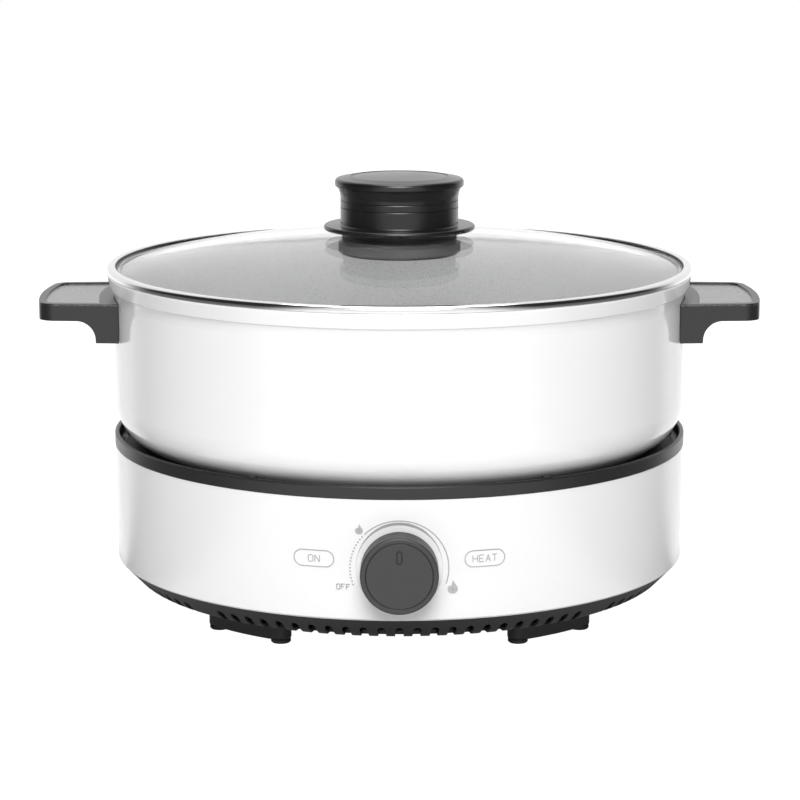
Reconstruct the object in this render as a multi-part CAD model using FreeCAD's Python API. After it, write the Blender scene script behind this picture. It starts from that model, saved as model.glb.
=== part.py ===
import FreeCAD, Part
import math
import os
from FreeCAD import Vector

# Electric hot pot with a lift-off lid, in millimetres, standing on z = 0.
# The pot's own axis is the Z axis, and the dial faces -Y.

# Pot: driving dimensions
pot_radius = 146.2
pot_wall = 2.8
pot_floor = 4.0
pot_corner = 22.0
pot_height = 88.5
rim_radius = pot_radius + 3.7
rim_foot_radius = pot_radius + 2.1
rim_band = 7.4
rim_lip = 0.6
rim_sweep_height = 5.4
rim_sweep_reach = 1.2
mouth_wall = 2.0
mouth_depth = 3.1

# Heating base: driving dimensions
shell_radius = pot_radius + 0.8
shell_draft = 0.4
shell_height = 59.0
shell_wall = 2.2
shell_edge = 0.8
frame_radius = shell_radius + 0.2
frame_height = 6.3
frame_rim_width = 2.4
frame_rim_edge = 0.6
deck_depth = 7.5
deck_wall = 2.2
deck_corner = 3.0
spigot_wall = 2.2
spigot_depth = 3.5
fit_gap = 0.3
boss_height = 4.0
boss_radius = 3.6
screw_radius = 1.6
screw_gap = 0.15
vent_inner_radius = frame_radius - 16.2
vent_outer_radius = frame_radius - 4.0
vent_start = 92.0
vent_end = 116.0
lug_angle = 29.0
lug_width = 3.8
lug_depth = 2.2
lug_rise = 0.5

# Underside: driving dimensions
cover_depth = 11.0
cover_radius = shell_radius - 11.2
cover_corner = 2.2
cover_wall = 2.2
notch_width = 4.0
notch_top = 16.7
notch_inner_radius = cover_radius - 5.8
front_notches = 23
front_notch_pitch = 3.5
side_notches = 25
side_notch_pitch = 3.458
rib_radius = cover_radius - 15.0
rib_half_width = 5.2
rib_wall = 2.0
rib_edge = 1.4
rib_start = 28.6
rib_end = 47.6
pad_height = 1.8
pad_radius = 4.9
pad_stem_radius = 2.0
pad_stem_height = 2.4
rail_screw_reach = 7.0
rail_boss_radius = 3.4
rib_clearance = 8.7
floor_vents = 16
floor_vent_inner = 42.0
floor_vent_outer = 78.0
floor_vent_width = 4.0
post_radius = 4.6
post_circle = cover_radius - 15.8
post_angles = (62.0, 118.0, 242.0, 298.0)

# Heater: driving dimensions
bracket_face = shell_radius - 16.0
shield_radius = bracket_face - 19.0
shield_screw_circle = shield_radius - 6.0
shield_bowl_radius = shield_radius - 12.4
plate_radius = shield_bowl_radius - 3.6
element_circle = plate_radius - 30.0
support_circle = plate_radius - 11.0
fuse_offset = element_circle - 24.0
plate_thickness = 5.0
plate_rise = 1.2
plate_edge = 1.0
plate_gap = 2.0
element_radius = 3.3
element_gap_angle = 22.0
element_bend = 7.0
element_leg = 18.0
channel_wall = 3.2
channel_height = 5.5
shield_wall = 0.8
shield_depth = 16.0
shield_screws = 6
support_radius = 4.0
supports = 3
sensor_radius = 12.6
sensor_gap = 0.5
sensor_wall = 1.2
sensor_travel = 2.4
sensor_stop = 1.6
housing_radius = 8.7
housing_wall = 1.4
housing_flange = 16.0
spring_radius = 5.4
spring_wire = 0.6
spring_turns = 6
fuse_radius = 2.2
fuse_length = 22.0
clip_wall = 0.6

# Dial and controls: driving dimensions
dial_height = 47.5
dial_radius = 18.45
dial_face = shell_radius + 16.2
dial_depth = 15.6
dial_wall = 2.4
dial_edge = 1.0
dial_back_edge = 2.4
dial_groove_radius = 15.8
dial_groove_width = 0.7
pointer_width = 3.0
pointer_length = 6.7
pointer_offset = 9.0
dish_radius = 22.2
dish_floor_radius = 20.4
dish_floor = shell_radius - 1.8
shaft_radius = 3.0
shaft_fit = 0.05
bushing_radius = 5.0
bracket_wall = 2.0
bracket_half_width = 58.0
bracket_low = 26.0
regulator_size = 30.0
regulator_depth = 22.0
lens_offset = 40.4
lens_height = 51.0
lens_width = 18.9
lens_tall = 7.8
lens_gap = 0.12
board_thickness = 1.6
lamp_height = 1.8

# Supply inlet: driving dimensions
inlet_height = 47.0
inlet_half_width = 15.8
inlet_half_tall = 11.8
inlet_face = shell_radius - 1.0
inlet_depth = 26.0
inlet_wall = 3.4
inlet_back_wall = 9.0
inlet_flange_face = shell_radius - 6.6
inlet_flange_half = 25.0
pin_spacing = 7.0
pin_width = 4.0
pin_thickness = 2.0
pin_reach = 11.0
tab_reach = 6.0
lead_radius = 1.4

# Handles: driving dimensions
handle_reach = pot_radius + 38.3
handle_bow = 2.4
handle_half_width = 40.5
handle_tip_half_width = 37.5
handle_corner = 9.0
handle_top = 156.0
handle_thickness = 8.7
handle_leg_foot = 136.1
handle_leg_reach = pot_radius + 6.5
handle_leg_round = 9.8
handle_edge = 0.7
handle_panel_inset = 4.0
handle_panel_depth = 0.8
handle_wall = 3.0
handle_screw_drop = 12.5
handle_screw_offset = 24.0
lug_reach = 5.0
lug_radius = 5.0

# Lid: driving dimensions
glass_thickness = 4.0
glass_radius = pot_radius + 0.3
glass_brim = glass_radius - 3.5
dome_rise = 15.3
seal_wall = 0.35
seal_lip = glass_radius - 1.6
ring_wall = 0.6
ring_lip = glass_radius - 1.0
ring_bead = 3.1
lid_gap = 0.1
glass_hole = 4.5
knob_flange_radius = 38.75
knob_flange_wall = 2.6
knob_flange_edge = 1.1
knob_seat = 2.5
knob_waist_radius = 30.25
knob_waist_height = 14.2
knob_cap_radius = 33.0
knob_neck_height = 5.4
knob_cap_height = 4.2
knob_cap_lip = 1.2
knob_cap_round = 1.8
knob_cap_under_round = 0.8
knob_crown = 1.6
knob_cap_recess = 24.8
knob_wall = 2.4
knob_skirt = 1.6
washer_radius = 29.5
boss_depth = 7.4
lower_ring_radius = 31.3
lower_ring_height = 6.4
insert_radius = 4.4
insert_length = 12.0
knob_screw_radius = 2.8
knob_screw_head = 6.5
knob_screw_head_height = 3.0

# Levels that follow from the sizes above
rib_foot = pad_height
cover_bottom = rib_foot + rib_clearance
cover_floor = cover_bottom + cover_wall
shell_bottom = cover_bottom + cover_depth
shell_top = shell_bottom + shell_height
frame_top = shell_top + frame_height
deck_top = frame_top - deck_depth
deck_under = deck_top - deck_wall
plate_top = deck_top + plate_rise
plate_under = plate_top - plate_thickness
flange_top = deck_under - boss_height
shield_floor = flange_top - shield_depth
pot_bottom = plate_top
rim_top = pot_bottom + pot_height
rim_foot = rim_top - rim_band
sweep_foot = rim_foot - rim_lip - rim_sweep_height
ledge = rim_top - mouth_depth
mouth_radius = rim_radius - mouth_wall
pot_bore = pot_radius - pot_wall
ring_seat = rim_top + lid_gap
seal_outer = glass_radius + seal_wall
ring_bore = seal_outer + ring_wall
glass_top = ring_seat + ring_bead - ring_wall - seal_wall
glass_under = glass_top - glass_thickness
dome_top = glass_top + dome_rise
flange_bottom = dome_top + knob_seat
waist_foot = flange_bottom + knob_flange_wall
neck_foot = waist_foot + knob_waist_height
cap_foot = neck_foot + knob_neck_height
cap_edge_top = cap_foot + knob_cap_height
boss_bottom = dome_top - glass_thickness - boss_depth
handle_bottom = handle_top - handle_thickness
handle_screw_height = handle_top - handle_screw_drop
frame_bore = frame_radius - frame_rim_width
shell_bore_top = shell_radius - shell_wall
shell_foot_radius = shell_radius - shell_draft
shell_bore_foot = shell_foot_radius - shell_wall


def arc_through(first, middle, last):
    return Part.Arc(first, middle, last).toShape()


def outline(points, place):
    """Closed wire; a point of four numbers is an arc through its first two to its last two."""
    edges = []
    last = place(*points[0][-2:])
    for point in points[1:] + points[:1]:
        end = place(*point[-2:])
        if len(point) == 4 and point is not points[0]:
            edges.append(arc_through(last, place(*point[:2]), end))
        elif (end - last).Length > 1e-6:
            edges.append(Part.makeLine(last, end))
        last = end
    return Part.Wire(edges)


def turned(*points):
    """Solid of revolution about the Z axis; points are (radius, height)."""
    wire = outline(list(points), lambda r, z: Vector(r, 0, z))
    solid = Part.Face(wire).revolve(Vector(0, 0, 0), Vector(0, 0, 1), 360)
    return whole(solid)


def turned_on_dial(*points):
    """Solid of revolution about the dial's axis; points are (radius, distance in front)."""
    wire = outline(list(points), lambda r, y: Vector(r, -y, dial_height))
    solid = Part.Face(wire).revolve(Vector(0, 0, dial_height), Vector(0, 1, 0), 360)
    return whole(solid)


def whole(solid):
    if solid.Volume < 0:
        solid.reverse()
    return solid


def slab(points, low, high):
    """Prism that stands on an outline in plan."""
    wire = outline(list(points), lambda x, y: Vector(x, y, low))
    return whole(Part.Face(wire).extrude(Vector(0, 0, high - low)))


def block(x0, x1, y0, y1, z0, z1):
    return Part.makeBox(x1 - x0, y1 - y0, z1 - z0, Vector(x0, y0, z0))


def rod(radius, base, top):
    line = Vector(*top) - Vector(*base)
    return Part.makeCylinder(radius, line.Length, Vector(*base), line)


def around(shape, angle):
    """Copy turned about the pot's axis; angle 0 is the front, and it grows towards +X."""
    copy = shape.copy()
    copy.rotate(Vector(0, 0, 0), Vector(0, 0, 1), angle)
    return copy


def polar(radius, angle):
    turn = math.radians(angle)
    return radius * math.sin(turn), -radius * math.cos(turn)


def mirrored(shape):
    return shape.mirror(Vector(0, 0, 0), Vector(1, 0, 0))


def capsule(width, tall, x, z, y0, y1):
    """Prism along Y with a capsule section, its long side along the larger size."""
    half = min(width, tall) / 2
    run = max(width, tall) / 2 - half
    dx, dz = (run, 0) if width > tall else (0, run)
    body = rod(half, (x - dx, y0, z - dz), (x - dx, y1, z - dz))
    body = body.fuse(rod(half, (x + dx, y0, z + dz), (x + dx, y1, z + dz)))
    side = (run, half) if width > tall else (half, run)
    body = body.fuse(block(x - side[0], x + side[0], y0, y1, z - side[1], z + side[1]))
    return body.removeSplitter()


def arc_slot(radius, half_width, start, end, low, high):
    """Curved slot of even width about the pot's axis, with round ends."""
    inner, outer = radius - half_width, radius + half_width
    middle = (start + end) / 2
    points = [
        polar(inner, start),
        polar(inner, middle) + polar(inner, end),
        polar(radius, end + math.degrees(half_width / radius)) + polar(outer, end),
        polar(outer, middle) + polar(outer, start),
        polar(radius, start - math.degrees(half_width / radius)) + polar(inner, start),
    ]
    return slab(points, low, high)


def save(name, *solids):
    shape = solids[0] if len(solids) == 1 else Part.makeCompound(list(solids))
    if shape.ShapeType == "Compound" and len(shape.Solids) == 1:
        shape = shape.Solids[0]
    shape.exportStep("parts/" + name + ".step")


def screw(base, top, head_radius, head_height, shank_radius):
    """Pan-head screw; the head's bearing face is at base and the shank ends at top."""
    axis = (Vector(*top) - Vector(*base)).normalize()
    head_end = Vector(*base) - axis * head_height
    head = Part.makeCylinder(head_radius, head_height, head_end, axis)
    rim = [edge for edge in head.Edges if edge.BoundBox.Center.distanceToPoint(head_end) < 1e-6]
    head = head.makeFillet(head_height * 0.4, rim)
    body = head.fuse(rod(shank_radius, base, top)).removeSplitter()
    return body.cut(cross_recess(head_end, axis, head_radius, head_height))


def cross_recess(head_end, axis, head_radius, head_height):
    """Cross-shaped driver recess that starts at the head's outer face."""
    long, wide, deep = head_radius * 1.1, head_radius * 0.28, head_height * 0.6
    arms = []
    for across, along in ((long, wide), (wide, long)):
        arms.append(block(-across / 2, across / 2, -along / 2, along / 2, -1, deep))
    cross = arms[0].fuse(arms[1])
    cross.Placement = FreeCAD.Placement(head_end, FreeCAD.Rotation(Vector(0, 0, 1), axis))
    return cross


# White side wall of the base
def make_outer_shell():
    wall = turned(
        (shell_bore_foot, shell_bottom),
        (shell_foot_radius - shell_edge, shell_bottom),
        (shell_foot_radius, shell_bottom + shell_edge),
        (shell_radius, shell_top),
        (shell_bore_top, shell_top),
    )
    for side in (-1, 1):
        boss = rod(
            boss_radius,
            (side * inlet_screw_x, inlet_flange_face, inlet_height),
            (side * inlet_screw_x, shell_bore_foot - 0.5, inlet_height),
        )
        hole = rod(
            screw_radius - screw_gap,
            (side * inlet_screw_x, inlet_flange_face - 1, inlet_height),
            (side * inlet_screw_x, inlet_screw_tip + 0.5, inlet_height),
        )
        wall = wall.fuse(boss).cut(hole)
        window = capsule(
            lens_width + 2 * lens_gap, lens_tall + 2 * lens_gap,
            side * lens_offset, lens_height, -shell_radius - 5, -lens_back,
        )
        wall = wall.cut(window)
    dish = turned_on_dial(
        (0, dish_floor),
        (dish_floor_radius, dish_floor),
        (dish_radius, shell_radius + 0.01),
        (dish_radius, shell_radius + 5),
        (0, shell_radius + 5),
    )
    shaft_hole = rod(
        bushing_radius + fit_gap,
        (0, -shell_radius - 1, dial_height),
        (0, -shell_bore_foot + 5, dial_height),
    )
    inlet_hole = block(
        -inlet_half_width - fit_gap, inlet_half_width + fit_gap,
        inlet_flange_face, shell_radius + 5,
        inlet_height - inlet_half_tall - fit_gap, inlet_height + inlet_half_tall + fit_gap,
    )
    save("outer_shell", wall.cut([dish, shaft_hole, inlet_hole]))


# Dark top frame: rim ring, deck round the heating plate, and the posts under it
def make_top_frame():
    spigot_outer = shell_bore_top - fit_gap
    spigot_inner = spigot_outer - spigot_wall
    corner = deck_corner
    rim_edge = frame_rim_edge
    slope = corner * (1 - math.sqrt(0.5))
    ring = turned(
        (plate_radius + plate_gap, deck_under),
        (spigot_inner, deck_under),
        (spigot_inner, shell_top - spigot_depth),
        (spigot_outer, shell_top - spigot_depth),
        (spigot_outer, shell_top),
        (frame_radius, shell_top),
        (frame_radius, frame_top - rim_edge),
        (frame_radius - rim_edge, frame_top),
        (frame_bore + rim_edge, frame_top),
        (frame_bore, frame_top - rim_edge),
        (frame_bore, deck_top + corner),
        (frame_bore - slope, deck_top + slope, frame_bore - corner, deck_top),
        (plate_radius + plate_gap, deck_top),
    )
    half = lug_width / 2
    lug = block(-half, half, -frame_bore - frame_rim_width / 2, -frame_bore + lug_depth,
                shell_top, frame_top + lug_rise)
    lug = lug.makeFillet(lug_rise, top_edges(lug))
    lug = lug.fuse(block(-half, half, -spigot_outer, -frame_bore + lug_depth, deck_top - 1, shell_top))
    lugs = [around(lug, angle) for angle in four_ways(lug_angle)]
    bosses = []
    holes = []
    for x, y in shield_screw_places() + bracket_screw_places():
        bosses.append(rod(boss_radius, (x, y, flange_top), (x, y, deck_under)))
        holes.append(rod(screw_radius - screw_gap, (x, y, flange_top - 1), (x, y, deck_under + 0.6)))
    for angle in post_angles:
        x, y = polar(post_circle, angle)
        bosses.append(rod(post_radius, (x, y, cover_floor), (x, y, deck_under)))
        holes.append(rod(screw_radius - screw_gap, (x, y, cover_floor - 1), (x, y, cover_floor + 16)))
    vents = []
    for start in (vent_start, 360 - vent_end):
        radius = (vent_inner_radius + vent_outer_radius) / 2
        half = (vent_outer_radius - vent_inner_radius) / 2
        trim = math.degrees(half / radius)
        end = start + vent_end - vent_start
        vents.append(arc_slot(radius, half, start + trim, end - trim, deck_under - 0.01, frame_top))
    frame = ring.fuse(lugs + bosses)
    save("top_frame", frame.cut(holes + vents))


def top_edges(shape):
    high = shape.BoundBox.ZMax
    return [edge for edge in shape.Edges if edge.BoundBox.ZMin > high - 1e-6]


def four_ways(angle):
    return (angle, 180 - angle, 180 + angle, 360 - angle)


def shield_screw_places():
    step = 360 / shield_screws
    return [polar(shield_screw_circle, step * (k + 0.5)) for k in range(shield_screws)]


def bracket_screw_places():
    return [(side * bracket_screw_x, -bracket_screw_y) for side in (-1, 1)]


bracket_screw_x = 46.0
bracket_screw_y = bracket_face - bracket_wall - 6.0
lens_back = bracket_face + board_thickness + lamp_height
inlet_screw_x = (inlet_half_width + inlet_flange_half) / 2
inlet_screw_tip = shell_bore_foot - 0.4


# Dark underside with its ring of notches and four hollow foot ribs
def make_bottom_cover():
    spigot_outer = shell_bore_foot - fit_gap
    spigot_inner = spigot_outer - spigot_wall
    rise = shell_bottom - cover_bottom
    lean = shell_foot_radius - shell_edge - cover_radius
    dip = cover_corner * 0.3
    dish = turned(
        (0, cover_bottom),
        (cover_radius - cover_corner, cover_bottom),
        (cover_radius - dip, cover_bottom + dip, cover_radius + cover_corner * lean / rise * 0.8,
         cover_bottom + cover_corner),
        (shell_foot_radius - shell_edge, shell_bottom),
        (spigot_outer, shell_bottom),
        (spigot_outer, shell_bottom + spigot_depth),
        (spigot_inner, shell_bottom + spigot_depth),
        (spigot_inner, shell_bottom - cover_wall / 2),
        (cover_radius, cover_floor),
        (0, cover_floor),
    )
    half = notch_width / 2
    notch = block(-half, half, -shell_radius, -notch_inner_radius, cover_bottom - 1, notch_top - half)
    arch = notch_top - half
    notch = notch.fuse(rod(half, (0, -shell_radius, arch), (0, -notch_inner_radius, arch)))
    notches = [around(notch, angle) for angle in notch_angles()]
    vent = floor_slot()
    vents = [around(vent, 360 / floor_vents * k) for k in range(floor_vents)]
    holes = []
    for angle in post_angles:
        x, y = polar(post_circle, angle)
        holes.append(rod(screw_radius + screw_gap, (x, y, cover_bottom - 1), (x, y, cover_floor + 1)))
    for x, y in rail_screw_places():
        holes.append(rod(screw_radius + screw_gap, (x, y, cover_bottom - 1), (x, y, cover_floor + 1)))
    save("bottom_cover", dish.cut(notches + vents + holes))


# Four curved foot rails under the cover, each held by a screw from inside
def make_foot_rails():
    rails = []
    for start, end in rib_spans():
        rail = arc_slot(rib_radius, rib_half_width, start, end, rib_foot, cover_bottom)
        low = [edge for edge in rail.Edges if edge.BoundBox.ZMax < rib_foot + 1e-6]
        rail = rail.makeFillet(rib_edge, low)
        pocket = arc_slot(rib_radius, rib_half_width - rib_wall, start, end,
                          rib_foot + pad_stem_height, cover_bottom + 1)
        x, y = polar(rib_radius, (start + end) / 2)
        boss = rod(rail_boss_radius, (x, y, rib_foot + pad_stem_height - 1), (x, y, cover_bottom + 1))
        tools = [pocket.cut(boss)]
        tools.append(rod(screw_radius - screw_gap, (x, y, cover_bottom - rail_screw_reach),
                         (x, y, cover_bottom + 1)))
        for angle in (start, end):
            px, py = polar(rib_radius, angle)
            tools.append(rod(pad_stem_radius, (px, py, 0), (px, py, rib_foot + pad_stem_height + 1)))
        rails.append(rail.cut(tools))
    save("foot_rails", *rails)
    screws = []
    for x, y in rail_screw_places():
        screws.append(screw((x, y, cover_floor), (x, y, cover_bottom - rail_screw_reach), 3.0, 1.8,
                            screw_radius - screw_gap))
    save("rail_screws", *screws)


def rail_screw_places():
    return [polar(rib_radius, (start + end) / 2) for start, end in rib_spans()]


def floor_slot():
    half = floor_vent_width / 2
    slot = block(-half, half, -floor_vent_outer + half, -floor_vent_inner - half,
                 cover_bottom - 1, cover_floor + 1)
    for radius in (floor_vent_inner + half, floor_vent_outer - half):
        slot = slot.fuse(rod(half, (0, -radius, cover_bottom - 1), (0, -radius, cover_floor + 1)))
    return slot.removeSplitter()


def rib_spans():
    return [
        (rib_start, rib_end),
        (180 - rib_end, 180 - rib_start),
        (180 + rib_start, 180 + rib_end),
        (360 - rib_end, 360 - rib_start),
    ]


def pad_places():
    return [polar(rib_radius, angle) for span in rib_spans() for angle in span]


def notch_angles():
    angles = []
    for centre in (0, 180):
        for k in range(front_notches):
            angles.append(centre + (k - (front_notches - 1) / 2) * front_notch_pitch)
    for centre in (90, 270):
        for k in range(side_notches):
            angles.append(centre + (k - (side_notches - 1) / 2) * side_notch_pitch)
    return angles


def make_rubber_feet():
    feet = []
    for x, y in pad_places():
        pad = Part.makeCylinder(pad_radius, pad_height, Vector(x, y, 0))
        low = [edge for edge in pad.Edges if edge.BoundBox.ZMax < 1e-6]
        pad = pad.makeChamfer(pad_height * 0.3, low)
        stem = rod(pad_stem_radius, (x, y, pad_height / 2), (x, y, rib_foot + pad_stem_height))
        feet.append(pad.fuse(stem).removeSplitter())
    save("rubber_feet", *feet)


def make_cover_screws():
    screws = []
    for angle in post_angles:
        x, y = polar(post_circle, angle)
        screws.append(screw((x, y, cover_bottom), (x, y, cover_floor + 12), 3.4, 2.0,
                            screw_radius - screw_gap))
    save("cover_screws", *screws)


# Cast aluminium plate with a tube element under it
def make_heating_plate():
    channel_inner = element_circle - element_radius - channel_wall
    channel_outer = element_circle + element_radius + channel_wall
    plate = turned(
        (sensor_radius + sensor_gap, plate_under),
        (channel_inner - 1, plate_under),
        (channel_inner, plate_under - channel_height),
        (channel_outer, plate_under - channel_height),
        (channel_outer + 1, plate_under),
        (plate_radius, plate_under),
        (plate_radius, plate_top - plate_edge),
        (plate_radius - plate_edge, plate_top),
        (sensor_radius + sensor_gap, plate_top),
    )
    groove = Part.makeTorus(element_circle, element_radius, Vector(0, 0, element_height))
    holes = []
    for x, y in support_places():
        holes.append(rod(screw_radius - screw_gap, (x, y, plate_under - 1), (x, y, plate_top - 1.5)))
    save("heating_plate", plate.cut([groove] + holes))


element_height = plate_under - channel_height


def support_places():
    return [polar(support_circle, 360 / supports * k) for k in range(supports)]


def make_heating_element():
    circle = Part.Wire(Part.makeCircle(
        element_radius, Vector(element_circle, 0, element_height), Vector(0, 1, 0)))
    ring = Part.Face(circle).revolve(Vector(0, 0, 0), Vector(0, 0, 1), 360 - 2 * element_gap_angle)
    ring = around(whole(ring), 90 + element_gap_angle)
    ends = []
    for side in (-1, 1):
        x, y = polar(element_circle, 180 + side * element_gap_angle)
        outward = Vector(x, y, 0).normalize()
        pivot = Vector(x, y, element_height - element_bend)
        end = Part.Face(Part.Wire(Part.makeCircle(
            element_radius, Vector(x, y, element_height), Vector(0, 0, 1).cross(outward))))
        ends.append(whole(end.revolve(pivot, outward, side * 90)))
    for x, y in terminal_places():
        ends.append(rod(element_radius, (x, y, element_foot), (x, y, element_height - element_bend)))
        ends.append(rod(lead_radius, (x, y, terminal_tip), (x, y, element_foot)))
    save("heating_element", ring.fuse(ends).removeSplitter())


element_foot = element_height - element_leg
terminal_tip = element_foot - 7.0


def make_heat_shield():
    bowl = shield_bowl_radius
    wall = shield_wall
    low = flange_top - wall
    shield = turned(
        (housing_radius + 2, shield_floor - wall),
        (bowl - 2, shield_floor - wall),
        (bowl + wall, shield_floor + 2),
        (bowl + wall, low),
        (shield_radius, low),
        (shield_radius, flange_top),
        (bowl, flange_top),
        (bowl, shield_floor + 2.4),
        (bowl - 2.4, shield_floor),
        (housing_radius + 2, shield_floor),
    )
    holes = []
    for x, y in shield_screw_places():
        holes.append(rod(screw_radius + screw_gap, (x, y, low - 1), (x, y, flange_top + 1)))
    for x, y in support_places():
        holes.append(rod(screw_radius + screw_gap, (x, y, shield_floor - 2), (x, y, shield_floor + 1)))
    for x, y in terminal_places():
        holes.append(rod(element_radius + 1, (x, y, shield_floor - 2), (x, y, shield_floor + 1)))
    save("heat_shield", shield.cut(holes))


def terminal_places():
    x, y = polar(element_circle, 180 - element_gap_angle)
    turn = math.radians(element_gap_angle)
    x -= element_bend * math.cos(turn)
    y += element_bend * math.sin(turn)
    return [(x, y), (-x, y)]


def make_shield_screws():
    screws = []
    for x, y in shield_screw_places():
        base = flange_top - shield_wall
        screws.append(screw((x, y, base), (x, y, deck_under), 3.0, 1.8, screw_radius - screw_gap))
    save("shield_screws", *screws)


def make_plate_supports():
    spacers = []
    screws = []
    for x, y in support_places():
        spacer = rod(support_radius, (x, y, shield_floor), (x, y, plate_under))
        bore = rod(screw_radius + screw_gap, (x, y, shield_floor - 1), (x, y, plate_under + 1))
        spacers.append(spacer.cut(bore))
        base = shield_floor - shield_wall
        screws.append(screw((x, y, base), (x, y, plate_under + 3), 3.2, 1.8, screw_radius - screw_gap))
    save("plate_spacers", *spacers)
    save("plate_screws", *screws)


# Spring-loaded temperature sensor in the middle of the plate
def make_sensor():
    skirt = sensor_radius - sensor_wall
    lip = sensor_radius + sensor_stop
    lip_top = plate_under - sensor_travel - 0.1
    cap = turned(
        (0, plate_top - sensor_wall),
        (skirt, plate_top - sensor_wall),
        (skirt, lip_top - sensor_wall),
        (lip, lip_top - sensor_wall),
        (lip, lip_top),
        (sensor_radius, lip_top),
        (sensor_radius, plate_top - 0.5),
        (sensor_radius - 0.5, plate_top),
        (0, plate_top),
    )
    save("sensor_cap", cap)
    bead_top = plate_top - sensor_wall
    bead = turned((0, bead_top - 4), (2.2, bead_top - 4), (2.8, bead_top - 3), (2.8, bead_top), (0, bead_top))
    save("sensor_bead", bead)
    bore = housing_radius - housing_wall
    housing = turned(
        (1.6, shield_floor),
        (housing_flange, shield_floor),
        (housing_flange, shield_floor + housing_wall),
        (housing_radius, shield_floor + housing_wall),
        (housing_radius, lip_top),
        (bore, lip_top),
        (bore, shield_floor + housing_wall),
        (1.6, shield_floor + housing_wall),
    )
    save("sensor_housing", housing)
    low = shield_floor + housing_wall + spring_wire
    high = bead_top - spring_wire
    save("sensor_spring", coil(spring_radius, spring_wire, low, high, spring_turns))
    print("spring gap between turns", round((high - low) / spring_turns - 2 * spring_wire, 2))


def coil(radius, wire, low, high, turns):
    """Open spring: one tube along quarter turns, each made of two arcs that meet smoothly."""
    rise = (high - low) / (turns * 2 * math.pi)
    steps = turns * 4
    edges = []
    for step in range(steps):
        ends = []
        for turn in (step * math.pi / 2, (step + 1) * math.pi / 2):
            place = Vector(radius * math.cos(turn), radius * math.sin(turn), low + rise * turn)
            heading = Vector(-radius * math.sin(turn), radius * math.cos(turn), rise).normalize()
            ends.append((place, heading))
        edges += smooth_arcs(*ends[0], *ends[1])
    path = Part.Wire(edges)
    start, heading = Vector(radius, 0, low), Vector(0, radius, rise)
    section = Part.Wire(Part.makeCircle(wire, start, heading))
    return whole(path.makePipeShell([section], True, False))


def smooth_arcs(start, heading, end, final):
    """Two equal arcs from start to end that keep the heading given at each end."""
    span = end - start
    both = heading + final
    a = both.dot(both) - 4
    b = -2 * span.dot(both)
    c = span.dot(span)
    reach = (-b - math.sqrt(b * b - 4 * a * c)) / (2 * a)
    if reach < 0:
        reach = (-b + math.sqrt(b * b - 4 * a * c)) / (2 * a)
    first, second = start + heading * reach, end - final * reach
    joint = (first + second) * 0.5
    return [arc_about(start, first, joint), arc_about(joint, second, end)]


def arc_about(start, corner, end):
    """Arc from start to end whose tangents meet at corner."""
    middle = (start + end) * 0.5
    half_turn = math.atan2((corner - middle).Length, (end - start).Length / 2)
    share = math.tan(half_turn / 2) / math.tan(half_turn)
    return arc_through(start, middle + (corner - middle) * share, end)


def make_fuse():
    height = plate_under - fuse_radius
    fuse = Part.makeCylinder(fuse_radius, fuse_length, Vector(-fuse_length / 2, fuse_offset, height),
                             Vector(1, 0, 0))
    save("thermal_fuse", fuse.makeChamfer(0.5, fuse.Edges[0:1]))
    outer = fuse_radius + clip_wall
    strap = rod(outer, (-3, fuse_offset, height), (3, fuse_offset, height))
    strap = strap.fuse(block(-3, 3, fuse_offset - outer, fuse_offset + outer, height, plate_under))
    strap = strap.fuse(block(-3, 3, fuse_offset - 9, fuse_offset + 9, plate_under - clip_wall, plate_under))
    strap = strap.cut(rod(fuse_radius, (-4, fuse_offset, height), (4, fuse_offset, height)))
    hollow = block(-4, 4, fuse_offset - fuse_radius, fuse_offset + fuse_radius, height, plate_under + 1)
    save("fuse_clip", strap.cut(hollow))


# Dial, its shaft and the regulator behind it
def make_dial():
    back = dial_face - dial_depth
    bore = dial_radius - dial_wall
    groove = dial_groove_width / 2
    knob = turned_on_dial(
        (0, dial_face),
        (dial_groove_radius - groove, dial_face),
        (dial_groove_radius, dial_face - dial_groove_width * 0.6),
        (dial_groove_radius + groove, dial_face),
        (dial_radius - dial_edge, dial_face),
        (dial_radius - dial_edge * 0.3, dial_face - dial_edge * 0.3, dial_radius, dial_face - dial_edge),
        (dial_radius - 0.15, back + dial_back_edge),
        (dial_radius - dial_back_edge * 0.35, back + dial_back_edge * 0.3,
         dial_radius - dial_back_edge, back),
        (bore - dial_back_edge / 2, back),
        (bore - dial_back_edge / 2, dial_face - dial_wall),
        (shaft_radius + 3, dial_face - dial_wall),
        (shaft_radius + 3, back + 2),
        (0, back + 2),
    )
    pointer = capsule(pointer_width, pointer_length, 0, dial_height + pointer_offset,
                      -dial_face - 1, -dial_face + 0.5)
    shaft = make_shaft()
    save("dial_knob", knob.cut([pointer, shaft]))
    save("dial_shaft", shaft)


def make_shaft():
    tip = -(dial_face - dial_wall - 1.5)
    shaft = rod(shaft_radius, (0, tip, dial_height), (0, -regulator_back + 4, dial_height))
    flat = block(-shaft_radius, shaft_radius, tip - 1, -(dial_face - dial_depth) - 1.9,
                 dial_height + shaft_radius * 0.55, dial_height + shaft_radius + 1)
    return shaft.cut(flat)


regulator_front = bracket_face - bracket_wall
regulator_back = regulator_front - regulator_depth


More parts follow.
